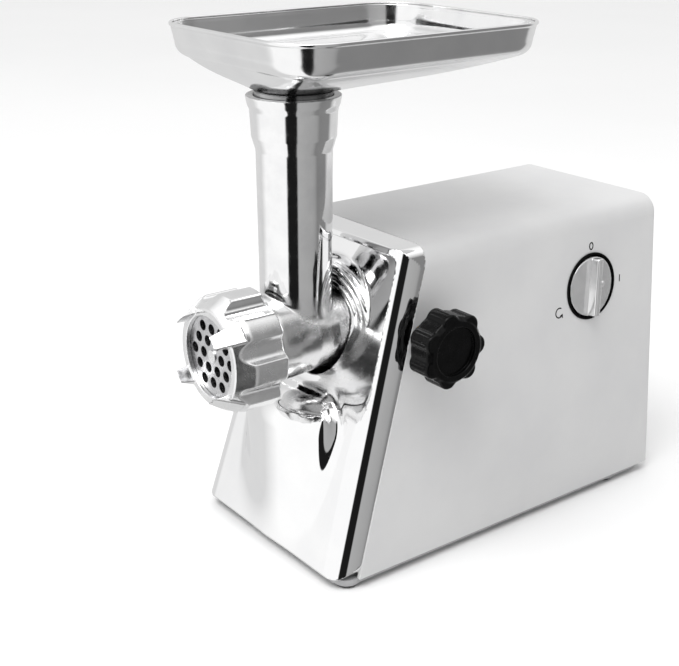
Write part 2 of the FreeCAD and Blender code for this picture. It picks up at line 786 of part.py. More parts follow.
def tray_solid(grow, top_extra, spigot_r):
    """The tray's form: upright wall, round bottom edge, floor that falls to the neck."""
    x = d.tray_half_w.value - 3.0 + grow
    front = d.tray_front_y.value + 3.0 - grow
    rear = d.tray_rear_y.value - 3.0 + grow
    top = d.tray_top.value
    corner = d.tray_corner_r.value - 3.0 + grow
    turn_r = 12.0
    sections = [(0.0, 0.0)]
    depth = d.tray_depth.value
    steps = 5
    for n in range(steps + 1):
        angle = math.radians(75.0) * n / steps
        drop = depth - turn_r + turn_r * math.sin(angle)
        inward = 3.0 + turn_r * (1 - math.cos(angle))
        sections.append((drop, inward))
    wires = [rounded_wire(x, front, rear, corner, top + top_extra)]
    wires += [rounded_wire(x - inward, front + inward, rear - inward, corner - inward, top - drop - grow)
              for drop, inward in sections[1:]]
    neck_z = d.tube_top.value + 2.0 - grow
    y = d.tube_y.value
    wires.append(rounded_wire(spigot_r, y - spigot_r, y + spigot_r, spigot_r - 0.05, neck_z))
    return Part.makeLoft(wires, True, True)


def make_tray():
    sheet_t = d.tray_sheet.value
    spigot_r = d.spigot_bore_r.value - 0.4
    outer = tray_solid(0.0, 0.0, spigot_r + 3.0)
    inner = tray_solid(-sheet_t, 5.0, spigot_r - sheet_t)
    top = d.tray_top.value
    rim_z = top - 3.0
    rim_outer = rounded_wire(d.tray_half_w.value, d.tray_front_y.value, d.tray_rear_y.value,
                             d.tray_corner_r.value, rim_z)
    rim = Part.Face(rim_outer).extrude(FreeCAD.Vector(0, 0, 3.0))
    neck_low = d.spigot_seat_z.value + 2.0
    axis = FreeCAD.Vector(0, d.tube_y.value, 0)
    up = FreeCAD.Vector(0, 0, 1)
    neck = Part.makeCylinder(spigot_r, d.tube_top.value + 6 - neck_low, axis + up * neck_low, up)
    neck_bore = Part.makeCylinder(spigot_r - sheet_t, 60, axis + up * (neck_low - 1), up)
    shape = outer.fuse([rim, neck]).cut(inner).cut(neck_bore).removeSplitter()
    tray = doc.addObject("Part::Feature", "tray")
    tray.Shape = shape
    keep(tray, "hopper_tray")


# ------------------------------------------------------------------- socket, lock, switch

def make_head_socket():
    lip = d.neck_front_y + 0.4
    rear = d.gearbox_front_y
    socket = turned_y("socket_tube", [
        (d.neck_r + 1.9, lip), (d.collar_hole_r - 2.2, lip), (d.collar_hole_r - 0.5, lip + 1.6),
        (d.collar_hole_r - 0.5, lip + 5), (d.neck_r + 4.5, lip + 7), (d.neck_r + 4.5, rear - 6),
        (d.neck_r + 16, rear - 6), (d.neck_r + 16, rear), (15.6, rear), (15.6, rear - 4.6),
        (d.neck_r + 0.08, rear - 4.6), (d.neck_r + 0.08, lip + 4.4), (d.neck_r + 1.9, lip + 4.0)])
    place(socket, (0, 0, d.axis_z))
    start = d.neck_r + 2
    arm = cylinder("lock_arm", 7.5, 62 - start, (start, d.lock_y, d.lock_z), "x")
    arm_hole = cylinder("lock_arm_hole", d.lock_screw_r + 0.06, 60, (10, d.lock_y, d.lock_z), "x")
    screw_holes = [cylinder("socket_screw_hole_%d" % n, 2.2, 30, (x, rear - 20, z), "y")
                   for n, (x, z) in enumerate(socket_screw_places())]
    keep(cut("socket", fuse("socket_solid", [socket, arm]), [arm_hole] + screw_holes), "head_socket")
    screws = [screw("socket_screw_%d" % n, (x, rear - 6, z), "y", 2.0, 8.4, 3.8, 2.4)
              for n, (x, z) in enumerate(socket_screw_places())]
    keep(group("socket_screw_group", screws), "socket_screws")


def socket_screw_places():
    reach = (d.neck_r + 10.5) / math.sqrt(2)
    return [(reach * sx, d.axis_z + reach * sz) for sx in (-1, 1) for sz in (-1, 1)]


def make_lock():
    outer = d.knob_outer_x
    inner = outer - d.knob_thick
    knob = turned_x("knob", [
        (inner, 0), (inner, 12), (inner + 3, 15), (inner + 5, d.knob_r - 4.6), (inner + 8, d.knob_r - 2.8),
        (outer - 3, d.knob_r - 2.8), (outer, d.knob_r - 6), (outer - 1, 12), (outer - 3, 9), (outer - 3, 0)])
    lobe = pad_x(knob, [circle(6.2, (0, d.knob_r - 6.2))], inner + 6.5, outer - 1.5)
    repeat_round(knob, lobe, "X_Axis", 7)
    cut_x(knob, [circle(d.lock_screw_r)], inner - 5, outer - 6)
    dress(knob, "Fillet", 1.0, lambda e: abs(middle(e).x - (outer.value - 1.5)) < 0.01
          and math.hypot(middle(e).y, middle(e).z) > d.knob_r.value - 2)
    keep(knob, "lock_knob", (0, d.lock_y, d.lock_z), (1, 0, 0, 12))
    tip = d.neck_r + 0.5
    stem = turned_x("stem", [(tip, 0), (tip, 2.4), (tip + 2, d.lock_screw_r), (outer - 6, d.lock_screw_r),
                             (outer - 6, 0)])
    keep(stem, "lock_screw", (0, d.lock_y, d.lock_z))
    bore = d.lock_screw_r + 0.06
    washer = turned_x("lock_ferrule", [
        (inner - 5.5, bore), (inner - 5.5, 8), (inner - 0.1, 8), (inner - 0.1, bore)])
    keep(washer, "lock_spacer", (0, d.lock_y, d.lock_z))
    insert = turned_x("insert", [(62.0, bore), (62.0, 8.4), (65.0, 8.4), (65.0, bore)])
    keep(insert, "lock_insert", (0, d.lock_y, d.lock_z))


def make_switch():
    at = (half_width(d.switch_z), d.switch_y, d.switch_z)
    turn = (0, 1, 0, -side_angle)
    r = d.switch_r
    bezel = turned_x("bezel", [
        (-12, 4.2), (-12, r), (0, r), (0.2, r + 1.3), (0.9, r + 1.1), (1.0, r - 0.2), (-9.5, r - 0.8),
        (-9.5, 4.2)])
    keep(bezel, "switch_bezel", at, turn)
    knob = turned_x("switch_disc", [
        (-9.0, 0), (-9.0, 17), (-2, r - 1.3), (0.6, r - 1.3), (1.6, r - 2.6), (1.2, 12), (1.0, 0)])
    grip_out = 9.5
    grip_end = r - 4
    pad_x(knob, [[(-3.6, -grip_end), (3.6, -grip_end), (4.2, 0), (3.6, grip_end), (-3.6, grip_end), (-4.2, 0)]],
          0, grip_out)
    dress(knob, "Fillet", 1.2, lambda e: abs(middle(e).x - grip_out) < 0.01)
    keep(knob, "switch_knob", at, turn)
    shaft = turned_x("switch_stem", [(-24, 0), (-24, 3), (-9.0, 3), (-9.0, 0)])
    keep(shaft, "switch_shaft", at, turn)
    body = new_body("switch_block")
    pad_x(body, [rectangle((-17, -17), (17, 17))], -34, -12)
    dress(body, "Fillet", 3.0, lambda e: along(e, "x"))
    cut_x(body, [circle(3.1)], -25, 0)
    keep(body, "rotary_switch", at, turn)
    blades = []
    for n in range(4):
        y = -10.5 + 7 * n
        blade = box("terminal_%d" % n, (-44, y - 2.4, -0.4), (-34, y + 2.4, 0.4))
        blades.append(blade)
    keep(group("terminal_group", blades), "switch_terminals", at, turn)


# ------------------------------------------------------------------------------ gearbox

def involute_angle(angle):
    return math.tan(angle) - angle


def tooth_flank(module, teeth, steps=5):
    """Radius and half-angle pairs up one flank of a tooth."""
    pitch_r = module * teeth / 2
    base_r = pitch_r * math.cos(PRESSURE_ANGLE)
    root_r = pitch_r - DEDENDUM * module
    tip_r = pitch_r + ADDENDUM * module
    half = (math.pi * module / 2 - BACKLASH) / (2 * pitch_r)
    start_r = max(base_r, root_r)
    flank = []
    for n in range(steps + 1):
        radius = start_r + (tip_r - start_r) * n / steps
        angle = math.acos(min(1.0, base_r / radius))
        flank.append((radius, half + involute_angle(PRESSURE_ANGLE) - involute_angle(angle)))
    return [(root_r, flank[0][1])] + flank if root_r < start_r - 1e-6 else flank


def gear_solid(module, teeth, phase, front, rear):
    """A spur gear about Y; phase is the first tooth's angle from +X towards +Z."""
    flank = tooth_flank(module, teeth)
    points = []
    for tooth in range(teeth):
        centre = phase + 2 * math.pi * tooth / teeth
        for radius, half in flank:
            points.append((radius, centre - half))
        for radius, half in reversed(flank):
            points.append((radius, centre + half))
    corners = [FreeCAD.Vector(r * math.cos(a), front, r * math.sin(a)) for r, a in points]
    face = Part.Face(Part.makePolygon(corners + corners[:1]))
    return face.extrude(FreeCAD.Vector(0, rear - front, 0))


def rod(radius, front, rear):
    """A plain cylinder about Y."""
    return Part.makeCylinder(radius, rear - front, FreeCAD.Vector(0, front, 0), FreeCAD.Vector(0, 1, 0))


def shaft_places():
    """Centres (x, z) of the output, second, first and motor shafts."""
    reach = [s.module * (s.pinion + s.wheel) / 2 for s in STAGES]
    motor = (0.0, d.motor_z.value)
    output = (0.0, d.axis_z.value)
    angle = math.radians(SECOND_SHAFT_ANGLE)
    second = (output[0] + reach[2] * math.cos(angle), output[1] + reach[2] * math.sin(angle))
    dx = second[0] - motor[0]
    dz = second[1] - motor[1]
    gap = math.hypot(dx, dz)
    on_line = (reach[0] ** 2 - reach[1] ** 2 + gap ** 2) / (2 * gap)
    off_line = math.sqrt(reach[0] ** 2 - on_line ** 2)
    first = (motor[0] + (on_line * dx - off_line * dz) / gap, motor[1] + (on_line * dz + off_line * dx) / gap)
    return SimpleNamespace(motor=motor, first=first, second=second, output=output)


def meshing_phase(driver_at, driver_phase, driver_teeth, wheel_at, wheel_teeth):
    """The phase that puts a wheel's gap where the driver's tooth points at it."""
    line = math.atan2(wheel_at[1] - driver_at[1], wheel_at[0] - driver_at[0])
    ahead = (driver_phase - line) * driver_teeth / wheel_teeth
    return line + math.pi - ahead + math.pi / wheel_teeth


def add_shape(label, shape, at):
    item = doc.addObject("Part::Feature", label + "_solid")
    item.Shape = shape.removeSplitter()
    keep(item, label, (at[0], 0, at[1]))


def make_gears():
    at = shaft_places()
    one, two, three = STAGES
    shaft_r = 4.0
    running_fit = 0.1
    front_wall = d.gearbox_front_y.value + d.gearbox_wall.value
    rear_wall = d.gearbox_rear_y.value

    motor_phase = 0.0
    pinion = gear_solid(one.module, one.pinion, motor_phase, one.front, one.rear)
    add_shape("motor_pinion", pinion.cut(rod(2.5, one.front - 1, one.rear + 1)), at.motor)

    phase = meshing_phase(at.motor, motor_phase, one.pinion, at.first, one.wheel)
    wheel = gear_solid(one.module, one.wheel, phase, one.front, one.rear)
    small = gear_solid(two.module, two.pinion, phase, two.front, one.front)
    first = wheel.fuse([small]).cut(rod(shaft_r + running_fit, -60, 0))
    add_shape("first_gear", first, at.first)

    phase = meshing_phase(at.first, phase, two.pinion, at.second, two.wheel)
    wheel = gear_solid(two.module, two.wheel, phase, two.front, two.rear)
    small = gear_solid(three.module, three.pinion, phase, three.front, two.front)
    second = wheel.fuse([small]).cut(rod(shaft_r + running_fit, -60, 0))
    add_shape("second_gear", second, at.second)

    phase = meshing_phase(at.second, phase, three.pinion, at.output, three.wheel)
    wheel = gear_solid(three.module, three.wheel, phase, three.front, three.rear)
    add_shape("output_gear", wheel.cut(rod(10.0, -60, 0)), at.output)

    for label, place_xz in (("first_shaft", at.first), ("second_shaft", at.second)):
        add_shape(label, rod(shaft_r, front_wall - 1.8, rear_wall + 1.8), place_xz)

    # The output spindle carries the gear and takes the auger's tang in its hexagonal socket
    corner = (d.tang_flats.value + 0.16) / math.sqrt(3)
    turns = [math.radians(60 * n) for n in range(7)]
    corners = [FreeCAD.Vector(corner * math.cos(turn), -60.0, corner * math.sin(turn)) for turn in turns]
    hexagon = Part.Face(Part.makePolygon(corners)).extrude(FreeCAD.Vector(0, 24.5, 0))
    head = rod(13.0, d.neck_rear_y.value + 0.8, -42.2)
    tail = rod(10.0, -42.2, rear_wall + 1.8)
    spindle = head.fuse([tail]).cut(hexagon)
    add_shape("output_spindle", spindle, at.output)


def make_gearbox():
    at = shaft_places()
    front = d.gearbox_front_y
    rear = d.gearbox_rear_y
    wall = d.gearbox_wall
    case = new_body("case")
    outline = rectangle((d.gearbox_left, d.gearbox_low), (d.gearbox_right, d.gearbox_high))
    pad_y(case, [outline], front, rear)
    dress(case, "Fillet", 14.0, lambda e: along(e, "y"))
    core = new_body("case_core")
    pad_y(core, [rectangle((d.gearbox_left + wall, d.gearbox_low + wall),
                           (d.gearbox_right - wall, d.gearbox_high - wall))], front + wall, rear + 5)
    dress(core, "Fillet", 11.0, lambda e: along(e, "y"))
    spindle_hole = cylinder("spindle_hole", 15.5, 20, (0, front - 10, d.axis_z), "y")
    pivots = [cylinder("case_pivot_%d" % n, 4.0, 6, (x, front + 1.2, z), "y")
              for n, (x, z) in enumerate((at.first, at.second))]
    holes = [cylinder("case_screw_hole_%d" % n, 2.0, 20, (x, front - 5, z), "y")
             for n, (x, z) in enumerate(socket_screw_places())]
    keep(cut("gearbox_shell", case, [core, spindle_hole] + pivots + holes), "gearbox_case")

    cover = new_body("cover")
    pad_y(cover, [outline], rear, rear + wall)
    dress(cover, "Fillet", 14.0, lambda e: along(e, "y"))
    pad_y(cover, [circle(14.0, (0, d.motor_z))], rear + wall - 0.5, rear + 9)
    cut_y(cover, [circle(11.0, (0, d.motor_z))], rear + 1.6, rear + 20)
    cut_y(cover, [circle(5.0, (0, d.motor_z))], rear - 5, rear + 20)
    for x, z in (at.first, at.second):
        cut_y(cover, [circle(4.0, (x, z))], rear - 5, rear + 1.8)
    cut_y(cover, [circle(10.05, (0, d.axis_z))], rear - 5, rear + 1.9)
    for x, z in cover_screw_places():
        cut_y(cover, [circle(1.6, (x, z))], rear - 5, rear + 20)
    for x, z in motor_bolt_places():
        cut_y(cover, [circle(1.6, (x, z))], rear - 5, rear + 20)
    keep(cover, "gearbox_cover")
    screws = [screw("cover_screw_%d" % n, (x, rear + wall, z), "y", 1.6, 8, 3.2, 2.2, sign=-1)
              for n, (x, z) in enumerate(cover_screw_places())]
    keep(group("cover_screw_group", screws), "gearbox_screws")
    bush_end = front + wall
    bush = turned_y("spindle_sleeve", [
        (13.06, front - 3), (15.5, front - 3), (15.5, bush_end), (13.06, bush_end)])
    keep(bush, "output_bushing", (0, 0, d.axis_z))


def cover_screw_places():
    inset = d.gearbox_wall + 2.2
    return [(x, z) for x in (d.gearbox_left + inset + 2.5, d.gearbox_right - inset - 2.5)
            for z in (d.gearbox_low + inset + 2.5, d.gearbox_high - inset - 2.5)]


def motor_bolt_places():
    reach_x = d.stator_half_w - 5
    reach_z = d.stator_half_tall - 5
    return [(reach_x * side, d.motor_z + reach_z * side) for side in (-1, 1)]


# -------------------------------------------------------------------------------- motor

def make_motor():
    z = d.motor_z
    front = d.stator_front_y
    rear = d.stator_rear_y
    stator = new_body("stator_stack")
    half_w = d.stator_half_w
    half_t = d.stator_half_tall
    pad_y(stator, [rectangle((-half_w, -half_t), (half_w, half_t))], front, rear)
    dress(stator, "Fillet", 8.0, lambda e: along(e, "y"))
    cut_y(stator, [circle(d.stator_bore_r)], front - 5, rear + 5)
    # Winding windows on both sides of the bore
    for side in (-1, 1):
        low_x = 16 * side if side > 0 else -31
        cut_y(stator, [rectangle((low_x, -17), (low_x + 15, 17))], front - 5, rear + 5)
    for x, bolt_z in motor_bolt_places():
        cut_y(stator, [circle(2.1, (x, bolt_z - z))], front - 5, rear + 5)
    keep(stator, "stator_core", (0, 0, z))

    coils = []
    for side in (-1, 1):
        for above in (-1, 1):
            x0 = 22.2 if side > 0 else -30.6
            z0 = 3.0 if above > 0 else -16.6
            bar = box("coil_side_%d" % len(coils), (x0, front - 8, z0), (x0 + 8.4, rear + 8, z0 + 13.6))
            coils.append(bar)
    for above in (-1, 1):
        for n, y in enumerate((front - 8, rear + 0.6)):
            z0 = 16.6 if above > 0 else -24.6
            coils.append(box("coil_end_%d_%d" % (above, n), (-27, y, z0), (27, y + 7.4, z0 + 8)))
    keep(fuse("coil_loops", coils), "stator_windings", (0, 0, z))

    rotor = turned_y("rotor_stack", [(d.motor_shaft_r, front), (d.rotor_r, front), (d.rotor_r, rear),
                                     (d.motor_shaft_r, rear)])
    slot = cut_y(rotor, [rectangle((-1.2, 13), (1.2, 22))], front - 5, rear + 5)
    repeat_round(rotor, slot, "Y_Axis", 12)
    keep(rotor, "rotor_core", (0, 0, z))
    shaft = turned_y("motor_rod", [
        (0, STAGES[0].front), (2.5, STAGES[0].front), (2.5, STAGES[0].rear),
        (d.motor_shaft_r, STAGES[0].rear), (d.motor_shaft_r, 124), (0, 124)])
    keep(shaft, "motor_shaft", (0, 0, z))
    commutator = turned_y("commutator_drum", [(d.motor_shaft_r, rear + 8), (8, rear + 8), (8, rear + 10),
                                              (d.commutator_r, rear + 10), (d.commutator_r, rear + 25),
                                              (d.motor_shaft_r, rear + 25)])
    groove = cut_y(commutator, [rectangle((-0.3, d.commutator_r - 0.8), (0.3, d.commutator_r + 1))],
                   rear + 11, rear + 30)
    repeat_round(commutator, groove, "Y_Axis", 24)
    keep(commutator, "commutator", (0, 0, z))

    fan = turned_y("fan_hub", [
        (d.motor_shaft_r, 9), (9, 9), (9, 11), (29, 13), (29, 14.6), (9, 13.5), (9, 20),
        (d.motor_shaft_r, 20)])
    vane = pad_y(fan, [[(8.5, -0.7), (28, 2.4), (28, 3.8), (8.5, 0.7)]], 12.8, 21)
    repeat_round(fan, vane, "Y_Axis", 9)
    keep(fan, "cooling_fan", (0, 0, z))

    for label, y in (("front_bearing", d.gearbox_rear_y + 1.6), ("rear_bearing", 116.0)):
        ring = turned_y(label + "_ring", [(d.motor_shaft_r + 0.04, y), (11, y), (11, as_size(y) + 7),
                                          (d.motor_shaft_r + 0.04, as_size(y) + 7)])
        keep(ring, label, (0, 0, z))

    frame_front = rear + 26
    frame = new_body("end_frame")
    pad_y(frame, [rectangle((-half_w, -half_t), (half_w, half_t))], frame_front, frame_front + 4)
    dress(frame, "Fillet", 8.0, lambda e: along(e, "y"))
    pad_y(frame, [circle(14.0)], frame_front + 3.5, frame_front + 13)
    for side in (-1, 1):
        low_x = 24.0 if side > 0 else -38.0
        pad_y(frame, [rectangle((low_x, -11), (low_x + 14, -8.2))], rear + 12, frame_front + 0.5)
    cut_y(frame, [circle(11.0)], frame_front + 4, frame_front + 20)
    cut_y(frame, [circle(6.0)], frame_front - 5, frame_front + 20)
    for x, bolt_z in motor_bolt_places():
        cut_y(frame, [circle(1.6, (x, bolt_z - z))], frame_front - 5, frame_front + 20)
    keep(frame, "motor_end_frame", (0, 0, z))

    seat = frame_front + 4
    bolts = [screw("motor_bolt_%d" % n, (x, seat, bolt_z), "y", 1.6, seat + 5.0, 3.2, 2.4, sign=-1)
             for n, (x, bolt_z) in enumerate(motor_bolt_places())]
    keep(group("motor_bolt_group", bolts), "motor_bolts")
    spacers = []
    for n, (x, bolt_z) in enumerate(motor_bolt_places()):
        for part_name, low_y, high_y in (("front", d.gearbox_rear_y + d.gearbox_wall, front),
                                         ("rear", rear, frame_front)):
            profile = [(2.1, low_y), (4.4, low_y), (4.4, high_y), (2.1, high_y)]
            tube = turned_y("spacer_%s_%d" % (part_name, n), profile)
            place(tube, (x, 0, bolt_z))
            spacers.append(tube)
    keep(group("spacer_group", spacers), "motor_spacers")

    holders = []
    brushes = []
    for side in (-1, 1):
        near = d.commutator_r + 2
        far = d.commutator_r + 22
        sleeve_low = near if side > 0 else -far
        sleeve_high = far if side > 0 else -near
        y0 = rear + 13
        sleeve = box("sleeve_%d" % side, (sleeve_low, y0 - 1.2, -8.2), (sleeve_high, y0 + 8.2, 5.2))
        channel = box("channel_%d" % side, (-60, y0, -4), (60, y0 + 7, 4))
        holders.append(cut("holder_%d" % side, sleeve, [channel]))
        brush_near = d.commutator_r + 0.15
        brush_far = d.commutator_r + 14
        low_x = brush_near if side > 0 else -brush_far
        high_x = brush_far if side > 0 else -brush_near
        brushes.append(box("brush_%d" % side, (low_x, y0, -4), (high_x, y0 + 7, 4)))
    keep(group("holder_group", holders), "brush_holders", (0, 0, z))
    keep(group("brush_group", brushes), "carbon_brushes", (0, 0, z))

    # A rubber-lined cradle carries the motor's rear end on the base plate
    cradle_low = d.housing_bottom + 3.2
    cradle = new_body("cradle")
    pad_y(cradle, [rectangle((-30, cradle_low - z), (30, -half_t))], rear - 14, rear - 4)
    cut_y(cradle, [rectangle((-20, cradle_low - z + 4), (20, -half_t - 4))], rear - 20, rear)
    keep(cradle, "motor_cradle", (0, 0, z))


def make_gland():
    rear = d.rear_y
    bore = d.gland_bore_r
    gland = turned_y("gland", [
        (bore, rear - 8), (bore + 6.5, rear - 8), (bore + 6.5, rear - 3.2), (bore + 4, rear - 3.2),
        (bore + 4, rear), (bore + 6, rear + 0.1), (bore + 6, rear + 2.6), (bore + 4.2, rear + 3.4),
        (bore + 2.4, rear + d.gland_reach), (bore, rear + d.gland_reach)])
    keep(gland, "cord_gland", (d.gland_x, 0, d.gland_z))


# --------------------------------------------------------------------------- whole model

def check_and_write():
    doc.recompute()
    for item in doc.Objects:
        if "Invalid" in item.State or "Error" in item.State:
            raise ValueError("%s failed: %s" % (item.Name, item.State))
    for label, item in NODES.items():
        if item.Shape.isNull() or not item.Shape.isValid() or item.Shape.Volume <= 0:
            raise ValueError(label + " has no sound shape")
    os.makedirs("parts", exist_ok=True)
    for label, item in NODES.items():
        item.Shape.exportStep("parts/%s.step" % label)
        print(label, len(item.Shape.Solids), round(item.Shape.Volume / 1000, 2), "cm3")


MAKERS = (make_housing, make_front_panel, make_base, make_base_fittings, make_grinder_head, make_auger,
          make_cutting_parts, make_ring_nut, make_tray, make_head_socket, make_lock, make_switch,
          make_gears, make_gearbox, make_motor, make_gland)
for make in MAKERS:
    make()
check_and_write()
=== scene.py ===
import bpy
import json
import math
import numpy as np
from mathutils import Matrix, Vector


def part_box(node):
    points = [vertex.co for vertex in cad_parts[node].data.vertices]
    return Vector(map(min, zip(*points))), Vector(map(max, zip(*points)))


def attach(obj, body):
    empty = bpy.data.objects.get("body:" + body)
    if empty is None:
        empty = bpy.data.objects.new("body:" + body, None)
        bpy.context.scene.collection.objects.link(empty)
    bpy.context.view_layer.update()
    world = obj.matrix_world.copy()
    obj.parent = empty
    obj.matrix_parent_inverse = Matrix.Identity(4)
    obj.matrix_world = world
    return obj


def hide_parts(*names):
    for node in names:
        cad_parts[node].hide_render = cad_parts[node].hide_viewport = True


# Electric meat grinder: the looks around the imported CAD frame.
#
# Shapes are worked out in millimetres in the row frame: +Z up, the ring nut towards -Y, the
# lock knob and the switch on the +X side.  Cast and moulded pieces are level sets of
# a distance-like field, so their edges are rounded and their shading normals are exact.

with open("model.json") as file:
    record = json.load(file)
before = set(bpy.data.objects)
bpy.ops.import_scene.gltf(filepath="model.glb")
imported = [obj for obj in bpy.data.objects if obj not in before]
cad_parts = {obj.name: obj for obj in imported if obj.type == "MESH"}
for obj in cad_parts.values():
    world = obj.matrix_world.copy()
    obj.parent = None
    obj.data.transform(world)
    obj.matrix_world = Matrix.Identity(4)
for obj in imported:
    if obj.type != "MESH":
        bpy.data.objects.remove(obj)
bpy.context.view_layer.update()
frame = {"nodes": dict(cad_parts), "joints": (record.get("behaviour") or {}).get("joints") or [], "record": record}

MM = 0.001
SHOP = {j["name"]: j for j in frame["joints"]}


def corners(node):
    """A CAD node's lowest and highest corners, in millimetres."""
    low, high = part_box(node)
    return np.array(low) / MM, np.array(high) / MM


def middle(node):
    low, high = corners(node)
    return (low + high) / 2


# ------------------------------------------------------------------ places from the frame

MID_X = middle("base_plate")[0]
AXIS_Z = middle("output_spindle")[2]
THROAT = [m for m in frame["record"]["mounts"] if m["name"] == "feed_throat"][0]
TUBE_Y = THROAT["pos_m"][1] / MM
BORE_R = THROAT["dims"]["r_mm"]
TUBE_TOP = corners("grinder_head")[1][2]
HEAD_FRONT = corners("grinder_head")[0][1]
HEAD_REAR = corners("grinder_head")[1][1]
NUT_REAR = corners("ring_nut")[1][1]
EAR_TIP = corners("ring_nut")[0][1]
NUT_R = 38.6
TRAY_LOW, TRAY_HIGH = corners("hopper_tray")
PANEL_LOW, PANEL_HIGH = corners("front_panel")
LOCK_AT = np.array(SHOP["lock_turn"]["pos_m"]) / MM
SWITCH_AT = np.array(SHOP["switch_turn"]["pos_m"]) / MM
SWITCH_AXIS = np.array(SHOP["switch_turn"]["axis"])

# The housing's slopes: its front leans back and its sides lean in
TOP_Z = PANEL_HIGH[2]
LOW_Z = PANEL_LOW[2]
LOW_HALF_W = (PANEL_HIGH[0] - PANEL_LOW[0]) / 2
TOP_HALF_W = 66.8
FRONT_LOW_Y = PANEL_LOW[1]
FRONT_TOP_Y = -76.6
SIDE_SLOPE = (LOW_HALF_W - TOP_HALF_W) / (TOP_Z - LOW_Z)
FRONT_SLOPE = (FRONT_TOP_Y - FRONT_LOW_Y) / (TOP_Z - LOW_Z)


# --------------------------------------------------------------------- level-set modelling

def blend_max(a, b, r):
    """The larger of a and b, with the crease rounded over about r."""
    h = np.maximum(r - np.abs(a - b), 0) / r
    return np.maximum(a, b) + h ** 3 * r / 6


def blend_min(a, b, r):
    return -blend_max(-a, -b, r)


def round_corner(a, b, r):
    """Where a < 0 and b < 0 meet: a true fillet of radius r."""
    a2, b2 = a + r, b + r
    outside = np.sqrt(np.maximum(a2, 0) ** 2 + np.maximum(b2, 0) ** 2)
    return np.minimum(np.maximum(a2, b2), 0) + outside - r


def profile(points, soften):
    """Radius as a function of place along an axis: the points joined, and softened over that length."""
    places = np.array([p[0] for p in points], float)
    radii = np.array([p[1] for p in points], float)
    step = 0.1
    fine = np.arange(places[0] - 20, places[-1] + 20, step)
    values = np.interp(fine, places, radii)
    count = max(3, int(soften / step) | 1)
    window = np.hanning(count + 2)[1:-1]
    smooth = np.convolve(np.pad(values, count // 2, mode="edge"), window / window.sum(), "valid")
    return lambda t: np.interp(t, fine, smooth)


def gradient(field, points, reach=0.02):
    found = []
    for axis in range(3):
        step = np.zeros(3)
        step[axis] = reach
        ahead = field(*(points + step).T)
        behind = field(*(points - step).T)
        found.append((ahead - behind) / (2 * reach))
    return np.stack(found, axis=1)


CELL_CORNERS = [(i, j, k) for i in (0, 1) for j in (0, 1) for k in (0, 1)]
CELL_EDGES = [(a, b) for a in range(8) for b in range(a + 1, 8)
              if sum(abs(p - q) for p, q in zip(CELL_CORNERS[a], CELL_CORNERS[b])) == 1]


def level_set(field, low, high, step):
    """Vertices, outward normals and quads of the closed surface field = 0 inside the box."""
    axes = [np.arange(a - 2 * step, b + 3 * step, step) for a, b in zip(low, high)]
    values = field(*np.meshgrid(*axes, indexing="ij", sparse=True))
    inside = values < 0
    shape = [n - 1 for n in values.shape]

    def corner_view(grid, corner):
        return grid[tuple(slice(c, c + n) for c, n in zip(corner, shape))]

    count = sum(corner_view(inside, c).astype(np.int8) for c in CELL_CORNERS)
    cells = np.argwhere((count > 0) & (count < 8))
    at_corner = np.stack([values[tuple((cells + c).T)] for c in CELL_CORNERS], axis=1)
    total = np.zeros((len(cells), 3))
    weight = np.zeros(len(cells))
    for a, b in CELL_EDGES:
        va, vb = at_corner[:, a], at_corner[:, b]
        crossed = (va < 0) != (vb < 0)
        share = np.where(crossed, va / np.where(crossed, va - vb, 1), 0)
        start = np.array(CELL_CORNERS[a], float)
        way = np.array(CELL_CORNERS[b], float) - start
        total += crossed[:, None] * (start + share[:, None] * way)
        weight += crossed
    origin = np.array([axis[0] for axis in axes])
    points = origin + (cells + total / weight[:, None]) * step

    index = np.full(shape, -1, np.int64)
    index[tuple(cells.T)] = np.arange(len(cells))
    quads = []
    for axis in range(3):
        ahead = [slice(None)] * 3
        behind = [slice(None)] * 3
        ahead[axis], behind[axis] = slice(1, None), slice(None, -1)
        first, second = inside[tuple(behind)], inside[tuple(ahead)]
        u, v = [n for n in range(3) if n != axis]
        for leaving in (True, False):
            spots = np.argwhere(first & ~second if leaving else second & ~first)
            ring = []
            for du, dv in ((0, 0), (1, 0), (1, 1), (0, 1)):
                cell = spots.copy()
                cell[:, u] -= du
                cell[:, v] -= dv
                ring.append(index[tuple(cell.T)])
            quad = np.stack(ring, axis=1)
            if leaving == (axis == 1):
                quad = quad[:, ::-1]
            quads.append(quad)
    quads = np.concatenate(quads)

    for _ in range(4):
        slope = gradient(field, points)
        size = np.maximum((slope ** 2).sum(axis=1), 1e-6)
        move = -(field(*points.T) / size)[:, None] * slope
        far = np.linalg.norm(move, axis=1)
        points += move * np.minimum(1, 0.6 * step / np.maximum(far, 1e-9))[:, None]
    slope = gradient(field, points)
    normals = slope / np.maximum(np.linalg.norm(slope, axis=1), 1e-9)[:, None]
    return points, normals, quads


def mesh_piece(name, points, faces, material, body, normals=None, stands_for=()):
    """A smooth-shaded mesh from points in millimetres, riding a CAD body."""
    mesh = bpy.data.meshes.new(name)
    mesh.from_pydata((np.asarray(points) * MM).tolist(), [], [list(map(int, f)) for f in faces])
    mesh.polygons.foreach_set("use_smooth", [True] * len(mesh.polygons))
    mesh.update()
    if normals is not None:
        mesh.normals_split_custom_set_from_vertices(np.asarray(normals).tolist())
    piece = bpy.data.objects.new(name, mesh)
    bpy.context.scene.collection.objects.link(piece)
    mesh.materials.append(material)
    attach(piece, body)
    if stands_for:
        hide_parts(*stands_for)
    return piece


def cast_piece(name, field, low, high, step, material, body, stands_for=()):
    points, normals, quads = level_set(field, low, high, step)
    return mesh_piece(name, points, quads, material, body, normals, stands_for)


# ------------------------------------------------------------------------------ materials

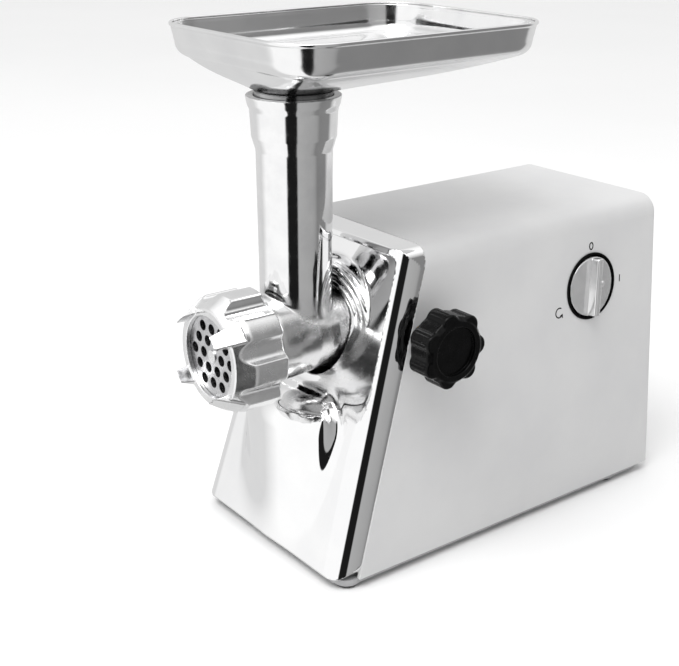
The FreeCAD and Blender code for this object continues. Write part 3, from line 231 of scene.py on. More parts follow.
def new_material(name):
    material = bpy.data.materials.new(name)
    material.use_nodes = True
    nodes = material.node_tree.nodes
    nodes.clear()
    output = nodes.new("ShaderNodeOutputMaterial")
    shader = nodes.new("ShaderNodeBsdfPrincipled")
    material.node_tree.links.new(shader.outputs["BSDF"], output.inputs["Surface"])
    return material, shader


def fill_ramp(ramp, stops):
    """Sets a colour ramp to (place, grey or colour) stops, given in order."""
    elements = ramp.color_ramp.elements

    def paint(element, value):
        element.color = (*value, 1) if hasattr(value, "__len__") else (value, value, value, 1)

    elements[0].position, elements[1].position = stops[0][0], stops[-1][0]
    paint(elements[0], stops[0][1])
    paint(elements[1], stops[-1][1])
    for place, value in stops[1:-1]:
        paint(elements.new(place), value)


class Finish:
    """A small builder of procedural surfaces: colour, roughness and bump from noise at real sizes."""

    def __init__(self, name, metallic=0.0, coat=0.0, coat_roughness=0.05, ior=1.5):
        self.material, self.shader = new_material(name)
        self.tree = self.material.node_tree
        self.shader.inputs["Metallic"].default_value = metallic
        self.shader.inputs["IOR"].default_value = ior
        self.shader.inputs["Coat Weight"].default_value = coat
        self.shader.inputs["Coat Roughness"].default_value = coat_roughness
        self.place = self.tree.nodes.new("ShaderNodeTexCoord").outputs["Object"]
        self.bumps = None

    def node(self, kind, **settings):
        made = self.tree.nodes.new(kind)
        for key, value in settings.items():
            setattr(made, key, value)
        return made

    def link(self, start, end):
        self.tree.links.new(start, end)

    def noise(self, size_mm, detail=3.0, rough=0.55, stretch=(1, 1, 1)):
        """Noise whose features are about size_mm across."""
        mapping = self.node("ShaderNodeMapping")
        mapping.inputs["Scale"].default_value = stretch
        self.link(self.place, mapping.inputs["Vector"])
        noise = self.node("ShaderNodeTexNoise")
        noise.inputs["Scale"].default_value = 1 / (size_mm * MM)
        noise.inputs["Detail"].default_value = detail
        noise.inputs["Roughness"].default_value = rough
        self.link(mapping.outputs["Vector"], noise.inputs["Vector"])
        return noise.outputs["Fac"]

    def ramp(self, source, stops):
        ramp = self.node("ShaderNodeValToRGB")
        fill_ramp(ramp, stops)
        self.link(source, ramp.inputs["Fac"])
        return ramp.outputs["Color"]

    def mix(self, share, first, second):
        mix = self.node("ShaderNodeMix", data_type="RGBA")
        self.link(share, mix.inputs["Factor"])
        self.link(first, mix.inputs["A"])
        self.link(second, mix.inputs["B"])
        return mix.outputs["Result"]

    def colour(self, source):
        self.link(source, self.shader.inputs["Base Color"])

    def roughness(self, source):
        self.link(source, self.shader.inputs["Roughness"])

    def bump(self, source, height_mm, strength=1.0):
        bump = self.node("ShaderNodeBump")
        bump.inputs["Strength"].default_value = strength
        bump.inputs["Distance"].default_value = height_mm * MM
        self.link(source, bump.inputs["Height"])
        if self.bumps is not None:
            self.link(self.bumps, bump.inputs["Normal"])
        self.bumps = bump.outputs["Normal"]
        self.link(self.bumps, self.shader.inputs["Normal"])
        return self

    def above(self, low_mm, high_mm):
        """0 below one height of the object, rising to 1 above the other."""
        split = self.node("ShaderNodeSeparateXYZ")
        self.link(self.place, split.inputs["Vector"])
        rise = self.node("ShaderNodeMapRange")
        rise.inputs["From Min"].default_value = low_mm * MM
        rise.inputs["From Max"].default_value = high_mm * MM
        self.link(split.outputs["Z"], rise.inputs["Value"])
        return rise.outputs["Result"]

    def paint_shade_in_hollows(self, bare, darkest, reach_mm):
        """The base colour with painted shade: darkened by ambient occlusion inside holes, bores and crevices,
        where shadow falls.
        """
        # Painted shade: the occlusion darkens the colour itself, not the lighting
        hollow = self.node("ShaderNodeAmbientOcclusion", samples=6)
        hollow.inputs["Distance"].default_value = reach_mm * MM
        shade = self.ramp(hollow.outputs["AO"], [(0.12, darkest), (0.45, 1.0)])
        mix = self.node("ShaderNodeMix", data_type="RGBA", blend_type="MULTIPLY")
        mix.inputs["Factor"].default_value = 1.0
        self.link(bare, mix.inputs["A"])
        self.link(shade, mix.inputs["B"])
        self.colour(mix.outputs["Result"])


def varied(finish, colour_a, colour_b, colour_size, rough_a, rough_b, rough_size, stretch=(1, 1, 1)):
    """Base colour and roughness that drift between two values."""
    finish.colour(finish.ramp(finish.noise(colour_size, 4), [(0.35, colour_a), (0.65, colour_b)]))
    finish.roughness(finish.ramp(finish.noise(rough_size, 5, 0.6, stretch), [(0.3, rough_a), (0.7, rough_b)]))
    return finish


def painted_housing():
    f = varied(Finish("housing_paint", coat=0.25, coat_roughness=0.18),
               (0.70, 0.70, 0.705), (0.74, 0.74, 0.74), 60, 0.34, 0.42, 25)
    f.bump(f.noise(1.1, 2), 0.012, 0.35)
    return f.material


def mirror_chrome():
    f = varied(Finish("mirror_chrome", metallic=1.0),
               (0.90, 0.90, 0.905), (0.94, 0.94, 0.94), 40, 0.02, 0.07, 18)
    f.bump(f.noise(9, 2), 0.010, 0.25)
    return f.material


def polished_casting():
    f = Finish("polished_casting", metallic=1.0)
    bare = f.ramp(f.noise(14, 4), [(0.35, (0.84, 0.84, 0.845)), (0.65, (0.91, 0.91, 0.91))])
    # Painted shade: ambient occlusion darkens the casting's colour inside its bores and crevices
    f.paint_shade_in_hollows(bare, 0.12, 22)
    # The feed tube is polished bright, the barrel and the ring nut below it are satin
    polished = f.ramp(f.noise(7, 5, 0.6), [(0.3, 0.05), (0.7, 0.12)])
    satin = f.ramp(f.noise(7, 5, 0.6), [(0.3, 0.20), (0.7, 0.30)])
    f.roughness(f.mix(f.above(AXIS_Z + 24, AXIS_Z + 34), satin, polished))
    f.bump(f.noise(6, 3), 0.035, 0.35)
    f.bump(f.noise(0.8, 2), 0.004, 0.3)
    return f.material


def pressed_steel():
    f = varied(Finish("pressed_steel", metallic=1.0),
               (0.85, 0.85, 0.855), (0.91, 0.91, 0.91), 30, 0.09, 0.19, 6, (1, 0.12, 1))
    f.bump(f.noise(24, 2), 0.08, 0.3)
    f.bump(f.noise(0.9, 2, 0.6, (1, 0.05, 1)), 0.003, 0.3)
    return f.material


def plate_steel():
    f = Finish("plate_steel", metallic=1.0)
    bare = f.ramp(f.noise(5, 4), [(0.35, (0.56, 0.56, 0.57)), (0.65, (0.68, 0.68, 0.69))])
    # Painted shade: ambient occlusion darkens the steel's colour inside holes and bores, down to nearly black
    f.paint_shade_in_hollows(bare, 0.01, 12)
    f.roughness(f.ramp(f.noise(1.5, 5, 0.6), [(0.3, 0.22), (0.7, 0.36)]))
    f.bump(f.noise(0.7, 3), 0.006, 0.5)
    return f.material


def black_moulding():
    f = varied(Finish("black_moulding"), (0.0015, 0.0015, 0.0016), (0.003, 0.003, 0.0032), 8, 0.16, 0.30, 4)
    f.shader.inputs["Specular IOR Level"].default_value = 0.14
    f.bump(f.noise(0.6, 3), 0.012, 0.45)
    return f.material


def switch_plating():
    f = varied(Finish("switch_plating", metallic=0.72, coat=0.4, coat_roughness=0.1),
               (0.84, 0.84, 0.845), (0.90, 0.90, 0.90), 9, 0.10, 0.18, 3)
    f.bump(f.noise(0.8, 3), 0.006, 0.4)
    return f.material


def grey_base():
    f = varied(Finish("grey_base"), (0.42, 0.42, 0.43), (0.48, 0.48, 0.485), 25, 0.42, 0.55, 5)
    f.bump(f.noise(0.7, 3), 0.02, 0.5)
    return f.material


def soft_rubber():
    f = varied(Finish("soft_rubber"), (0.012, 0.012, 0.012), (0.03, 0.03, 0.03), 5, 0.6, 0.8, 2)
    f.bump(f.noise(0.5, 3), 0.03, 0.6)
    return f.material


def plain(name, colour, metallic, rough, grain_mm, height_mm, spread=0.06):
    """An inner part's finish: one colour that drifts a little, with grain."""
    darker = tuple(c * 0.82 for c in colour)
    f = varied(Finish(name, metallic=metallic), darker, colour, 6 * grain_mm, rough - spread, rough + spread,
               3 * grain_mm)
    f.bump(f.noise(grain_mm, 3), height_mm, 0.5)
    return f.material


MATERIALS = {
    "housing": painted_housing(),
    "chrome": mirror_chrome(),
    "cast_metal": polished_casting(),
    "tray_steel": pressed_steel(),
    "steel": plate_steel(),
    "black_plastic": black_moulding(),
    "base": grey_base(),
    "rubber": soft_rubber(),
    "nylon": plain("natural_nylon", (0.82, 0.79, 0.70), 0.0, 0.45, 0.8, 0.01),
    "brass": plain("turned_brass", (0.72, 0.52, 0.22), 1.0, 0.3, 0.5, 0.006),
    "alloy": plain("die_casting", (0.60, 0.61, 0.62), 1.0, 0.42, 0.9, 0.02),
    "laminations": plain("electrical_steel", (0.20, 0.20, 0.22), 0.9, 0.5, 0.5, 0.02),
    "copper": plain("enamelled_copper", (0.62, 0.24, 0.10), 0.9, 0.32, 0.6, 0.03),
    "carbon": plain("graphite", (0.03, 0.03, 0.032), 0.2, 0.55, 0.4, 0.01),
}


# ------------------------------------------------------------------------- grinding head

TUBE_RADIUS = profile([
    (AXIS_Z, 23.3), (AXIS_Z + 50, 23.3), (268.4, 23.8), (277.0, 26.3), (293.2, 27.1), (296.6, 28.5),
    (TUBE_TOP - 1, 29.3), (TUBE_TOP + 30, 29.4)], 1.4)
BARREL_RADIUS = profile([
    (HEAD_FRONT, 29.6), (-147, 29.6), (-145.5, 31.4), (-144, 31.4), (-140.5, 28.9), (-126, 28.6),
    (-110, 27.7), (-100, 26.3), (-94, 26.0), (-88.5, 27.3), (-83.6, 27.5), (-82.6, 26.0),
    (HEAD_REAR + 30, 26.0)], 1.8)
# The casting's outside stands a little high between the nut and the neck
BARREL_RISE = profile([(-144, 0.0), (-138, 2.6), (-104, 2.6), (-90, 0.0)], 6.0)
PLATE_SEAT_Y = -160
PLATE_BORE_R = 28.3
FEED_BORE_R = 19.5
FEED_BORE_END_Y = -88
SHANK_BORE_R = 13.2
SPIGOT_SEAT = TUBE_TOP - 18
SPIGOT_BORE_R = 24.5


def head_field(x, y, z):
    across = x - MID_X
    tube_rho = np.sqrt(across ** 2 + (y - TUBE_Y) ** 2)
    barrel_rho = np.sqrt(across ** 2 + (z - AXIS_Z) ** 2)
    tube = blend_max(tube_rho - TUBE_RADIUS(z), z - TUBE_TOP, 1.0)
    tube = np.maximum(tube, AXIS_Z - z)
    barrel = np.sqrt(across ** 2 + (z - AXIS_Z - BARREL_RISE(y)) ** 2) - BARREL_RADIUS(y)
    barrel = blend_max(barrel, y - HEAD_REAR, 1.2)
    barrel = blend_max(barrel, HEAD_FRONT - y, 1.2)
    solid = blend_min(tube, barrel, 2.2)
    throat = np.maximum(tube_rho - np.where(z > SPIGOT_SEAT - 2, SPIGOT_BORE_R, BORE_R), AXIS_Z - z)
    plate_bore = barrel_rho - np.where(y < PLATE_SEAT_Y, PLATE_BORE_R, FEED_BORE_R)
    plate_bore = np.maximum(plate_bore, y - FEED_BORE_END_Y)
    shank_bore = np.maximum(barrel_rho - SHANK_BORE_R, y - (HEAD_REAR + 5))
    bores = np.minimum(np.minimum(throat, plate_bore), shank_bore)
    return blend_max(solid, -bores, 1.2)


def threaded_sleeve(name, radius, depth, front, rear, pitch, inner_r, material, body):
    """A closed ring about the barrel's axis whose outside is a real helical thread."""
    around = 144
    steps = int((rear - front) / pitch * 8)
    angles = np.arange(around) / around * 2 * math.pi
    rings = []
    for n in range(steps + 1):
        y = front + (rear - front) * n / steps
        fade = min(1.0, n / 8, (steps - n) / 8)
        wave = 0.5 + 0.5 * np.cos(2 * math.pi * (y / pitch) - angles)
        r = radius - depth * (1 - fade * wave)
        rings.append(np.stack([MID_X + r * np.cos(angles), np.full(around, y),
                               AXIS_Z + r * np.sin(angles)], 1))
    for y in (rear, front):
        rings.append(np.stack([MID_X + inner_r * np.cos(angles), np.full(around, y),
                               AXIS_Z + inner_r * np.sin(angles)], 1))
    points = np.concatenate(rings)
    count = len(rings)
    faces = []
    for n in range(count):
        for k in range(around):
            a, b = n * around + k, n * around + (k + 1) % around
            c, d = ((n + 1) % count) * around + (k + 1) % around, ((n + 1) % count) * around + k
            faces.append((a, b, c, d))
    return mesh_piece(name, points, faces, material, body)


def make_head():
    reach = 34
    cast_piece("head_casting", head_field, (MID_X - reach, HEAD_FRONT, AXIS_Z - reach),
               (MID_X + reach, HEAD_REAR, TUBE_TOP), 0.95, MATERIALS["cast_metal"], "head",
               ["grinder_head"])
    threaded_sleeve("barrel_thread", 31.4, 1.3, HEAD_FRONT + 1.5, -147.5, 3.0, 29.2,
                    MATERIALS["cast_metal"], "head")


# ------------------------------------------------------------------------------ ring nut

NUT_FRONT = -177.6
LOBES = 8
FLUTE_OFFSET, FLUTE_R = 4.2, 9.0
EAR_ANGLE = math.radians(40)
EAR_COUNT = 4


def folded_angle(across, up, first, count):
    """The angle from the nearest of count rays, the first at that angle from +X."""
    step = 2 * math.pi / count
    angle = np.arctan2(up, across) - first
    return (angle + step / 2) % step - step / 2


def nut_field(x, y, z):
    across, up = x - MID_X, z - AXIS_Z
    rho = np.sqrt(across ** 2 + up ** 2)
    valley = folded_angle(across, up, EAR_ANGLE + math.pi / LOBES, LOBES)
    flute_at = NUT_R + FLUTE_OFFSET
    flute = FLUTE_R - np.sqrt((rho * np.cos(valley) - flute_at) ** 2 + (rho * np.sin(valley)) ** 2)
    body = blend_max(rho - NUT_R, flute, 2.6)
    cone = (rho - 31.6 - (y - NUT_FRONT) * 0.62) * 0.85
    body = blend_max(body, cone, 1.0)
    body = round_corner(body, y - NUT_REAR, 1.4)
    body = round_corner(body, NUT_FRONT - y, 0.8)
    # Ears: claws that reach forward from alternate lobes and lean over the plate
    ear = folded_angle(across, up, EAR_ANGLE, EAR_COUNT)
    out, side = rho * np.cos(ear), rho * np.sin(ear)
    ahead = NUT_FRONT - y
    claw = np.maximum(out - (36.8 - 0.55 * (ahead + 7)), (27.6 - 0.02 * ahead) - out)
    claw = blend_max(claw, np.abs(side) - (5.9 - 0.16 * ahead), 1.0)
    claw = blend_max(claw, EAR_TIP - y, 1.2)
    claw = np.maximum(claw, y - NUT_FRONT - 8)
    solid = blend_min(body, claw, 1.6)
    bore = rho - np.where(y < -174.4, 26.4, 31.8)
    return blend_max(solid, -bore, 0.9)


def make_nut():
    reach = NUT_R + 1
    cast_piece("nut_casting", nut_field, (MID_X - reach, EAR_TIP, AXIS_Z - reach),
               (MID_X + reach, NUT_REAR, AXIS_Z + reach), 0.62, MATERIALS["cast_metal"], "nut",
               ["ring_nut"])


# --------------------------------------------------------------------------- front panel

RIM_W = 9.0
PANEL_DEPTH = 19.5
PANEL_WALL = 2.4
SIDE_ROUND = 16.0
RECESS_LOW, RECESS_MARGIN, RECESS_DEPTH = 92.0, 5.0, 11.0
APRON_R, APRON_Y, APRON_TOP, APRON_HALF_W = 90.0, -45.0, 111.0, 46.0
COLLAR_Y, COLLAR_HOLE_R, HOOD_R = -85.5, 28.8, 46.0
COLLAR_RINGS = (31.4, 37.0, 42.0)
COLLAR_RING_R = 2.2


def panel_shape(x, y, z):
    """The panel's outer skin, without its hollow back."""
    across = np.abs(x - MID_X)
    upright = math.cos(math.atan(FRONT_SLOPE))
    front = FRONT_LOW_Y + FRONT_SLOPE * (z - LOW_Z)
    side = across - (LOW_HALF_W - SIDE_SLOPE * (z - LOW_Z))
    outline = np.maximum(round_corner(side, z - TOP_Z, 12.0), round_corner(side, LOW_Z - z, 10.0))
    # The side edges are well rounded, the top and bottom edges nearly sharp
    ahead = (front - y) * upright
    block = np.maximum(round_corner(side, ahead, SIDE_ROUND), round_corner(outline, ahead, 1.5))
    # The recess round the head grows deeper towards the top
    face = front + (z - RECESS_LOW) * RECESS_DEPTH / (TOP_Z - RECESS_LOW)
    inside = round_corner(side + RIM_W, z - TOP_Z + RECESS_MARGIN, 6.0)
    recess = np.maximum(inside, (y - face) * upright)
    skin = blend_max(block, -recess, 2.4)
    apron = round_corner(np.sqrt(across ** 2 + (y - APRON_Y) ** 2) - APRON_R, across - APRON_HALF_W, 6.0)
    apron = round_corner(apron, z - APRON_TOP, 22.0)
    apron = np.maximum(apron, LOW_Z + 1 - z)
    skin = blend_min(skin, np.maximum(apron, FRONT_LOW_Y + 3 - y), 9.0)
    barrel_rho = np.sqrt(across ** 2 + (z - AXIS_Z) ** 2)
    hood = round_corner(barrel_rho - HOOD_R, COLLAR_Y + COLLAR_RING_R - y, 4.0)
    # Round ridges run round the hood's face, one inside the other
    for ring_r in COLLAR_RINGS:
        ridge = np.sqrt((barrel_rho - ring_r) ** 2 + (y - COLLAR_Y - COLLAR_RING_R) ** 2) - COLLAR_RING_R
        hood = blend_min(hood, ridge, 0.6)
    return blend_min(skin, hood, 3.5)


def panel_field(x, y, z):
    shape = panel_shape(x, y, z)
    behind = y - FRONT_LOW_Y - FRONT_SLOPE * (z - LOW_Z)
    shell = np.maximum(shape, -(shape + PANEL_WALL))
    barrel_rho = np.sqrt((x - MID_X) ** 2 + (z - AXIS_Z) ** 2)
    shell = blend_max(shell, COLLAR_HOLE_R - barrel_rho, 0.8)
    return np.maximum(shell, behind - PANEL_DEPTH)


def make_panel():
    cast_piece("panel_skin", panel_field, PANEL_LOW, PANEL_HIGH, 1.25, MATERIALS["chrome"],
               "machine", ["front_panel"])


# --------------------------------------------------------------------------- hopper tray

TRAY_CORNER_R = 30.0
NECK_R = 24.1
NECK_LOW = TRAY_LOW[2]
SHEET = 1.2


def rounded_loop(half_w, front, rear, radius, z, per_side, per_corner):
    """Points round a rounded rectangle, the same number for every size."""
    radius = min(radius, half_w - 0.01, (rear - front) / 2 - 0.01)
    points = []
    spots = [(1, 1, 0), (-1, 1, 90), (-1, -1, 180), (1, -1, 270)]
    for sx, sy, start in spots:
        ox = MID_X + sx * (half_w - radius)
        oy = rear - radius if sy > 0 else front + radius
        for n in range(per_corner + 1):
            angle = math.radians(start + 90 * n / per_corner)
            points.append((ox + radius * math.cos(angle), oy + radius * math.sin(angle), z))
    whole = []
    stride = per_corner + 1
    for n in range(4):
        corner = points[n * stride:(n + 1) * stride]
        following = points[((n + 1) % 4) * stride]
        whole += corner
        last = np.array(corner[-1])
        whole += [tuple(last + (np.array(following) - last) * k / per_side) for k in range(1, per_side)]
    return np.array(whole)


def make_tray():
    top = TRAY_HIGH[2]
    half_w = (TRAY_HIGH[0] - TRAY_LOW[0]) / 2
    front, rear = TRAY_LOW[1], TRAY_HIGH[1]
    wall_depth, turn_r = 12.0, 9.0
    wall_low = top - wall_depth
    outside = []
    # Rolled bead at the rim, then the wall, the round bottom edge and the falling floor
    bead_r = 1.3
    for n in range(11):
        angle = math.radians(165 - 255 * n / 10)
        outside.append((bead_r - bead_r * math.cos(angle), top - bead_r + bead_r * math.sin(angle)))
    outside.append((1.3, top - 3.6))
    for n in range(1, 7):
        share = n / 6
        outside.append((1.3 + 1.9 * share, top - 3.6 - (wall_depth - 3.6) * share))
    for n in range(1, 13):
        angle = math.radians(76 * n / 12)
        outside.append((3.2 + turn_r * (1 - math.cos(angle)), wall_low - turn_r * math.sin(angle)))
    edge_inset, edge_z = outside[-1]
    neck_top = TUBE_TOP + 3.0
    floor_steps = 16

    loops = []
    for inset, z in outside:
        loops.append((half_w - inset, front + inset, rear - inset, TRAY_CORNER_R - inset, z))
    for n in range(1, floor_steps + 1):
        share = n / floor_steps
        settle = share + 0.16 * math.sin(math.pi * share) * (1 - share)
        inset_w = half_w - edge_inset
        loops.append((
            inset_w + (NECK_R - inset_w) * share,
            front + edge_inset + (TUBE_Y - NECK_R - front - edge_inset) * share,
            rear - edge_inset + (TUBE_Y + NECK_R - rear + edge_inset) * share,
            (TRAY_CORNER_R - edge_inset) + (NECK_R - TRAY_CORNER_R + edge_inset) * share,
            edge_z + (neck_top - edge_z) * settle))
    loops.append((NECK_R, TUBE_Y - NECK_R, TUBE_Y + NECK_R, NECK_R, neck_top - 1.5))
    loops.append((NECK_R, TUBE_Y - NECK_R, TUBE_Y + NECK_R, NECK_R, NECK_LOW + 6))
    loops.append((NECK_R - 0.3, TUBE_Y - NECK_R + 0.3, TUBE_Y + NECK_R - 0.3, NECK_R, NECK_LOW))
    rings = [rounded_loop(*loop, per_side=18, per_corner=14) for loop in loops]
    points = np.concatenate(rings)
    around = len(rings[0])
    faces = []
    for n in range(len(rings) - 1):
        for k in range(around):
            a, b = n * around + k, n * around + (k + 1) % around
            faces.append((a, a + around, b + around, b))
    tray = mesh_piece("tray_pressing", points, faces, MATERIALS["tray_steel"], "tray",
                      stands_for=["hopper_tray"])
    thick = tray.modifiers.new("sheet", "SOLIDIFY")
    thick.thickness = SHEET * MM
    thick.offset = -1
    thick.use_even_offset = True
    smooth = tray.modifiers.new("smooth", "SUBSURF")
    smooth.levels = 1
    smooth.render_levels = 1


# ------------------------------------------------------------------------- black lock knob

KNOB_LOBES = 7
KNOB_THICK, KNOB_REACH = 25.0, 24.6
LOBE_R, GROOVE_PITCH = 6.4, 3.1
DISH_R, DISH_DEPTH = 15.5, 2.6


def knob_field(x, y, z):
    up, across = z - LOCK_AT[2], y - LOCK_AT[1]
    rho = np.sqrt(up ** 2 + across ** 2)
    lobe = folded_angle(across, up, math.radians(12 + 90), KNOB_LOBES)
    along, beside = rho * np.cos(lobe), rho * np.sin(lobe)
    inner = LOCK_OUT - KNOB_THICK
    core = rho - KNOB_PROFILE(x)
    round_lobe = np.sqrt((along - (KNOB_REACH - LOBE_R)) ** 2 + beside ** 2) - LOBE_R
    round_lobe = round_corner(round_lobe, x - (LOCK_OUT - 0.8), 2.2)
    round_lobe = round_corner(round_lobe, (inner + 6.5) - x, 1.5)
    # Fine grip grooves run along each lobe
    grooves = 0.35 * (0.5 + 0.5 * np.cos(2 * math.pi * beside / GROOVE_PITCH)) ** 2
    round_lobe = round_lobe + np.where((x > inner + 8.5) & (x < LOCK_OUT - 4), grooves, 0)
    solid = blend_min(core, round_lobe, 2.0)
    solid = blend_max(solid, x - LOCK_OUT, 0.8)
    solid = blend_max(solid, inner - x, 0.8)
    dish = np.maximum(rho - DISH_R, (LOCK_OUT - DISH_DEPTH) - x)
    return blend_max(solid, -dish, 1.6)


LOCK_OUT = corners("lock_knob")[1][0]
KNOB_PROFILE = profile([
    (LOCK_OUT - KNOB_THICK, 12.0), (LOCK_OUT - 22.0, 15.0), (LOCK_OUT - 20.0, 20.0), (LOCK_OUT - 17.0, 21.8),
    (LOCK_OUT - 3.0, 21.8), (LOCK_OUT, 19.0)], 1.6)


def make_lock_knob():
    reach = 25.5
    low = (LOCK_OUT - KNOB_THICK, LOCK_AT[1] - reach, LOCK_AT[2] - reach)
    high = (LOCK_OUT, LOCK_AT[1] + reach, LOCK_AT[2] + reach)
    cast_piece("knob_moulding", knob_field, low, high, 0.6, MATERIALS["black_plastic"], "lock",
               ["lock_knob"])


# ---------------------------------------------------------------------------------- switch

SWITCH_R = (corners("switch_bezel")[1][1] - corners("switch_bezel")[0][1]) / 2
SWITCH_OUT = SWITCH_AXIS / np.linalg.norm(SWITCH_AXIS)
SWITCH_UP = np.array([-SWITCH_OUT[2], 0.0, SWITCH_OUT[0]])
GRIP_LEAN = math.radians(4)
DISC_GAP, DISC_HEIGHT, FACE_FALL = 2.9, 2.6, 0.09
GRIP_HALF_W, GRIP_HEIGHT, NOTCH_PITCH = 4.0, 8.6, 2.1
DOT_OUT, DOT_R = 10.2, 2.3


def switch_field(x, y, z):
    out = (x - SWITCH_AT[0]) * SWITCH_OUT[0] + (z - SWITCH_AT[2]) * SWITCH_OUT[2]
    up = (x - SWITCH_AT[0]) * SWITCH_UP[0] + (z - SWITCH_AT[2]) * SWITCH_UP[2]
    back = y - SWITCH_AT[1]
    rho = np.sqrt(up ** 2 + back ** 2)
    disc_r = SWITCH_R - DISC_GAP
    # The two halves of the face fall away a little from the grip
    disc = blend_max(rho - disc_r, out - (DISC_HEIGHT - FACE_FALL * np.abs(back)), 1.0)
    beside = back * math.cos(GRIP_LEAN) - up * math.sin(GRIP_LEAN)
    grip = np.abs(beside) - (GRIP_HALF_W - 0.16 * out)
    grip = round_corner(grip, rho - (disc_r - 0.6), 1.2)
    grip = round_corner(grip, out - GRIP_HEIGHT, 1.4)
    notches = 0.4 * (0.5 + 0.5 * np.cos(2 * math.pi * up / NOTCH_PITCH)) ** 2
    grip = grip + np.where((beside > 0.4) & (out > 3), notches, 0)
    dot = np.sqrt((back - DOT_OUT) ** 2 + up ** 2 + (out - 0.9) ** 2) - DOT_R
    solid = blend_min(blend_min(disc, grip, 0.8), dot, 0.3)
    return np.maximum(solid, 0.2 - out)


def make_switch():
    reach = SWITCH_R + 1
    low = (SWITCH_AT[0] - 4, SWITCH_AT[1] - reach, SWITCH_AT[2] - reach)
    high = (corners("switch_knob")[1][0], SWITCH_AT[1] + reach, SWITCH_AT[2] + reach)
    cast_piece("switch_disc", switch_field, low, high, 0.5, switch_plating(), "switch",
               ["switch_knob"])


def oval(across, high, half_w, half_h, first, last, count):
    """Points along part of an oval round (across, high), from one angle to another in degrees."""
    turns = [math.radians(first + (last - first) * n / count) for n in range(count + 1)]
    return [(across + half_w * math.cos(t), high + half_h * math.sin(t)) for t in turns]


def make_switch_marks():
    """Off, on and reverse, as a ring, a bar and a turned arrow, printed on the housing."""
    half_line, thick = 0.42, 0.12
    strokes = [oval(0, 28.5, 1.7, 2.4, 0, 360, 24),
               [(30.0, -2.3), (30.0, 2.3)],
               oval(-31.0, -13.0, 3.4, 3.4, 60, 330, 18),
               [(-27.9, -16.9), (-28.06, -14.7), (-30.1, -15.6)]]
    points, faces = [], []
    for stroke in strokes:
        for start, end in zip(stroke, stroke[1:]):
            run = np.array(end) - np.array(start)
            run = run / np.linalg.norm(run)
            side = np.array([-run[1], run[0]]) * half_line
            ends = [np.array(start) - run * half_line * 0.5, np.array(end) + run * half_line * 0.5]
            first = len(points)
            for lift in (0.02, thick):
                for at in (ends[0] - side, ends[0] + side, ends[1] + side, ends[1] - side):
                    points.append(SWITCH_AT + np.array([0, at[0], 0]) + SWITCH_UP * at[1] + SWITCH_OUT * lift)
            for face in ((3, 2, 1, 0), (4, 5, 6, 7), (0, 1, 5, 4), (1, 2, 6, 5), (2, 3, 7, 6), (3, 0, 4, 7)):
                faces.append(tuple(first + k for k in face))
    mesh_piece("switch_marks", np.array(points), faces, MATERIALS["black_plastic"], "machine")


# ------------------------------------------------------------------------------- CAD nodes

def dress_cad_nodes():
    for part in frame["record"]["subparts"]:
        node = frame["nodes"][part["node"]]
        for holder in node.material_slots:
            holder.material = MATERIALS[part["material_slot"]]


# -------------------------------------------------------------------- stage, light, camera

CAMERA_AZIMUTH = 53.0
CAMERA_ELEVATION = 21.0
CAMERA_DISTANCE = 0.7821
CAMERA_TARGET = Vector((0.00935, -0.0927, 0.1493))
CAMERA_LENS = 64.34
CAMERA_SHIFT_X = 0.0034


def make_floor():
    size = 12.0
    mesh = bpy.data.meshes.new("floor")
    square = [(-size, -size, 0), (size, -size, 0), (size, size, 0), (-size, size, 0)]
    mesh.from_pydata(square, [], [(0, 1, 2, 3)])
    floor = bpy.data.objects.new("floor", mesh)
    bpy.context.scene.collection.objects.link(floor)
    floor_finish = varied(Finish("pale_floor"), (0.93, 0.93, 0.93), (0.95, 0.95, 0.95), 900, 0.7, 0.8, 300)
    mesh.materials.append(floor_finish.material)
    # Mirrors see the studio's walls instead of an endless bright floor
    floor.visible_glossy = False


def area_light(name, azimuth, elevation, distance, size, power):
    data = bpy.data.lights.new(name, "AREA")
    data.shape = "RECTANGLE"
    data.size, data.size_y = size
    data.energy = power
    light = bpy.data.objects.new(name, data)
    bpy.context.scene.collection.objects.link(light)
    a, e = math.radians(azimuth), math.radians(elevation)
    back = Vector((math.sin(a) * math.cos(e), -math.cos(a) * math.cos(e), math.sin(e)))
    light.location = CAMERA_TARGET + back * distance
    light.rotation_mode = "QUATERNION"
    light.rotation_quaternion = (-back).to_track_quat("-Z", "Y")


# Brightness of the studio round the object, by azimuth: white sheets with dark gaps
WALLS = [
    (-180, 0.75), (-62, 0.78), (-42, 1.12), (31, 1.12), (34, 0.012), (62, 0.012), (65, 0.46),
    (108, 0.40), (118, 0.36), (127, 0.24), (158, 0.26), (168, 0.70), (180, 0.75)]


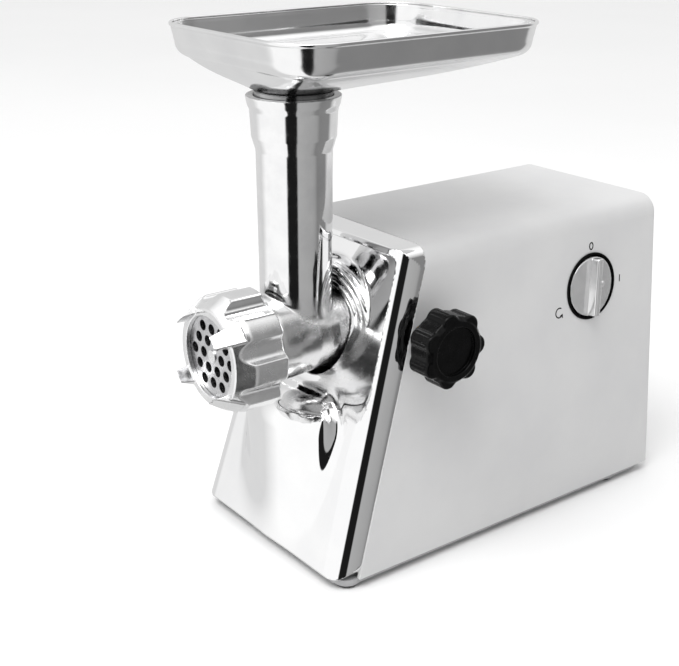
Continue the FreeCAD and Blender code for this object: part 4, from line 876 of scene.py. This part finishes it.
def make_world():
    world = bpy.data.worlds.new("studio")
    bpy.context.scene.world = world
    world.use_nodes = True
    tree = world.node_tree
    tree.nodes.clear()

    def node(kind, **settings):
        made = tree.nodes.new(kind)
        for key, value in settings.items():
            setattr(made, key, value)
        return made

    def math_node(operation, first, second=None):
        made = node("ShaderNodeMath", operation=operation)
        for socket, value in zip(made.inputs, (first, second)):
            if value is None:
                continue
            if isinstance(value, (int, float)):
                socket.default_value = value
            else:
                tree.links.new(value, socket)
        return made.outputs[0]

    place = node("ShaderNodeTexCoord").outputs["Generated"]
    parts = node("ShaderNodeSeparateXYZ")
    tree.links.new(place, parts.inputs[0])
    behind = math_node("MULTIPLY", parts.outputs["Y"], -1.0)
    azimuth = math_node("ARCTAN2", parts.outputs["X"], behind)
    share = math_node("ADD", math_node("DIVIDE", azimuth, 2 * math.pi), 0.5)
    walls = node("ShaderNodeValToRGB")
    fill_ramp(walls, [(angle / 360 + 0.5, value) for angle, value in WALLS])
    tree.links.new(share, walls.inputs["Fac"])
    # The ceiling is one large soft light
    ceiling = node("ShaderNodeMapRange")
    ceiling.inputs["From Min"].default_value = 0.62
    ceiling.inputs["From Max"].default_value = 0.80
    tree.links.new(parts.outputs["Z"], ceiling.inputs["Value"])
    sky = node("ShaderNodeMix", data_type="RGBA")
    sky.inputs["B"].default_value = (1.25, 1.25, 1.25, 1)
    tree.links.new(ceiling.outputs["Result"], sky.inputs["Factor"])
    tree.links.new(walls.outputs["Color"], sky.inputs["A"])
    seen = node("ShaderNodeMix", data_type="RGBA")
    seen.inputs["B"].default_value = (1.0, 1.0, 1.0, 1)
    tree.links.new(node("ShaderNodeLightPath").outputs["Is Camera Ray"], seen.inputs["Factor"])
    tree.links.new(sky.outputs["Result"], seen.inputs["A"])
    background = node("ShaderNodeBackground")
    background.inputs["Strength"].default_value = 0.95
    output = node("ShaderNodeOutputWorld")
    tree.links.new(seen.outputs["Result"], background.inputs["Color"])
    tree.links.new(background.outputs["Background"], output.inputs["Surface"])


def make_camera():
    data = bpy.data.cameras.new("camera")
    data.sensor_width = 36.0
    data.lens = CAMERA_LENS
    data.shift_x = CAMERA_SHIFT_X
    camera = bpy.data.objects.new("camera", data)
    bpy.context.scene.collection.objects.link(camera)
    a, e = math.radians(CAMERA_AZIMUTH), math.radians(CAMERA_ELEVATION)
    back = Vector((math.sin(a) * math.cos(e), -math.cos(a) * math.cos(e), math.sin(e)))
    camera.location = CAMERA_TARGET + back * CAMERA_DISTANCE
    camera.rotation_euler = (math.pi / 2 - e, 0, a)
    bpy.context.scene.camera = camera


dress_cad_nodes()
make_head()
make_nut()
make_panel()
make_tray()
make_lock_knob()
make_switch()
make_switch_marks()
make_floor()
make_world()
area_light("key_softbox", 20, 62, 2.2, (1.6, 1.2), 26)
make_camera()
bpy.context.scene.view_settings.view_transform = "Standard"
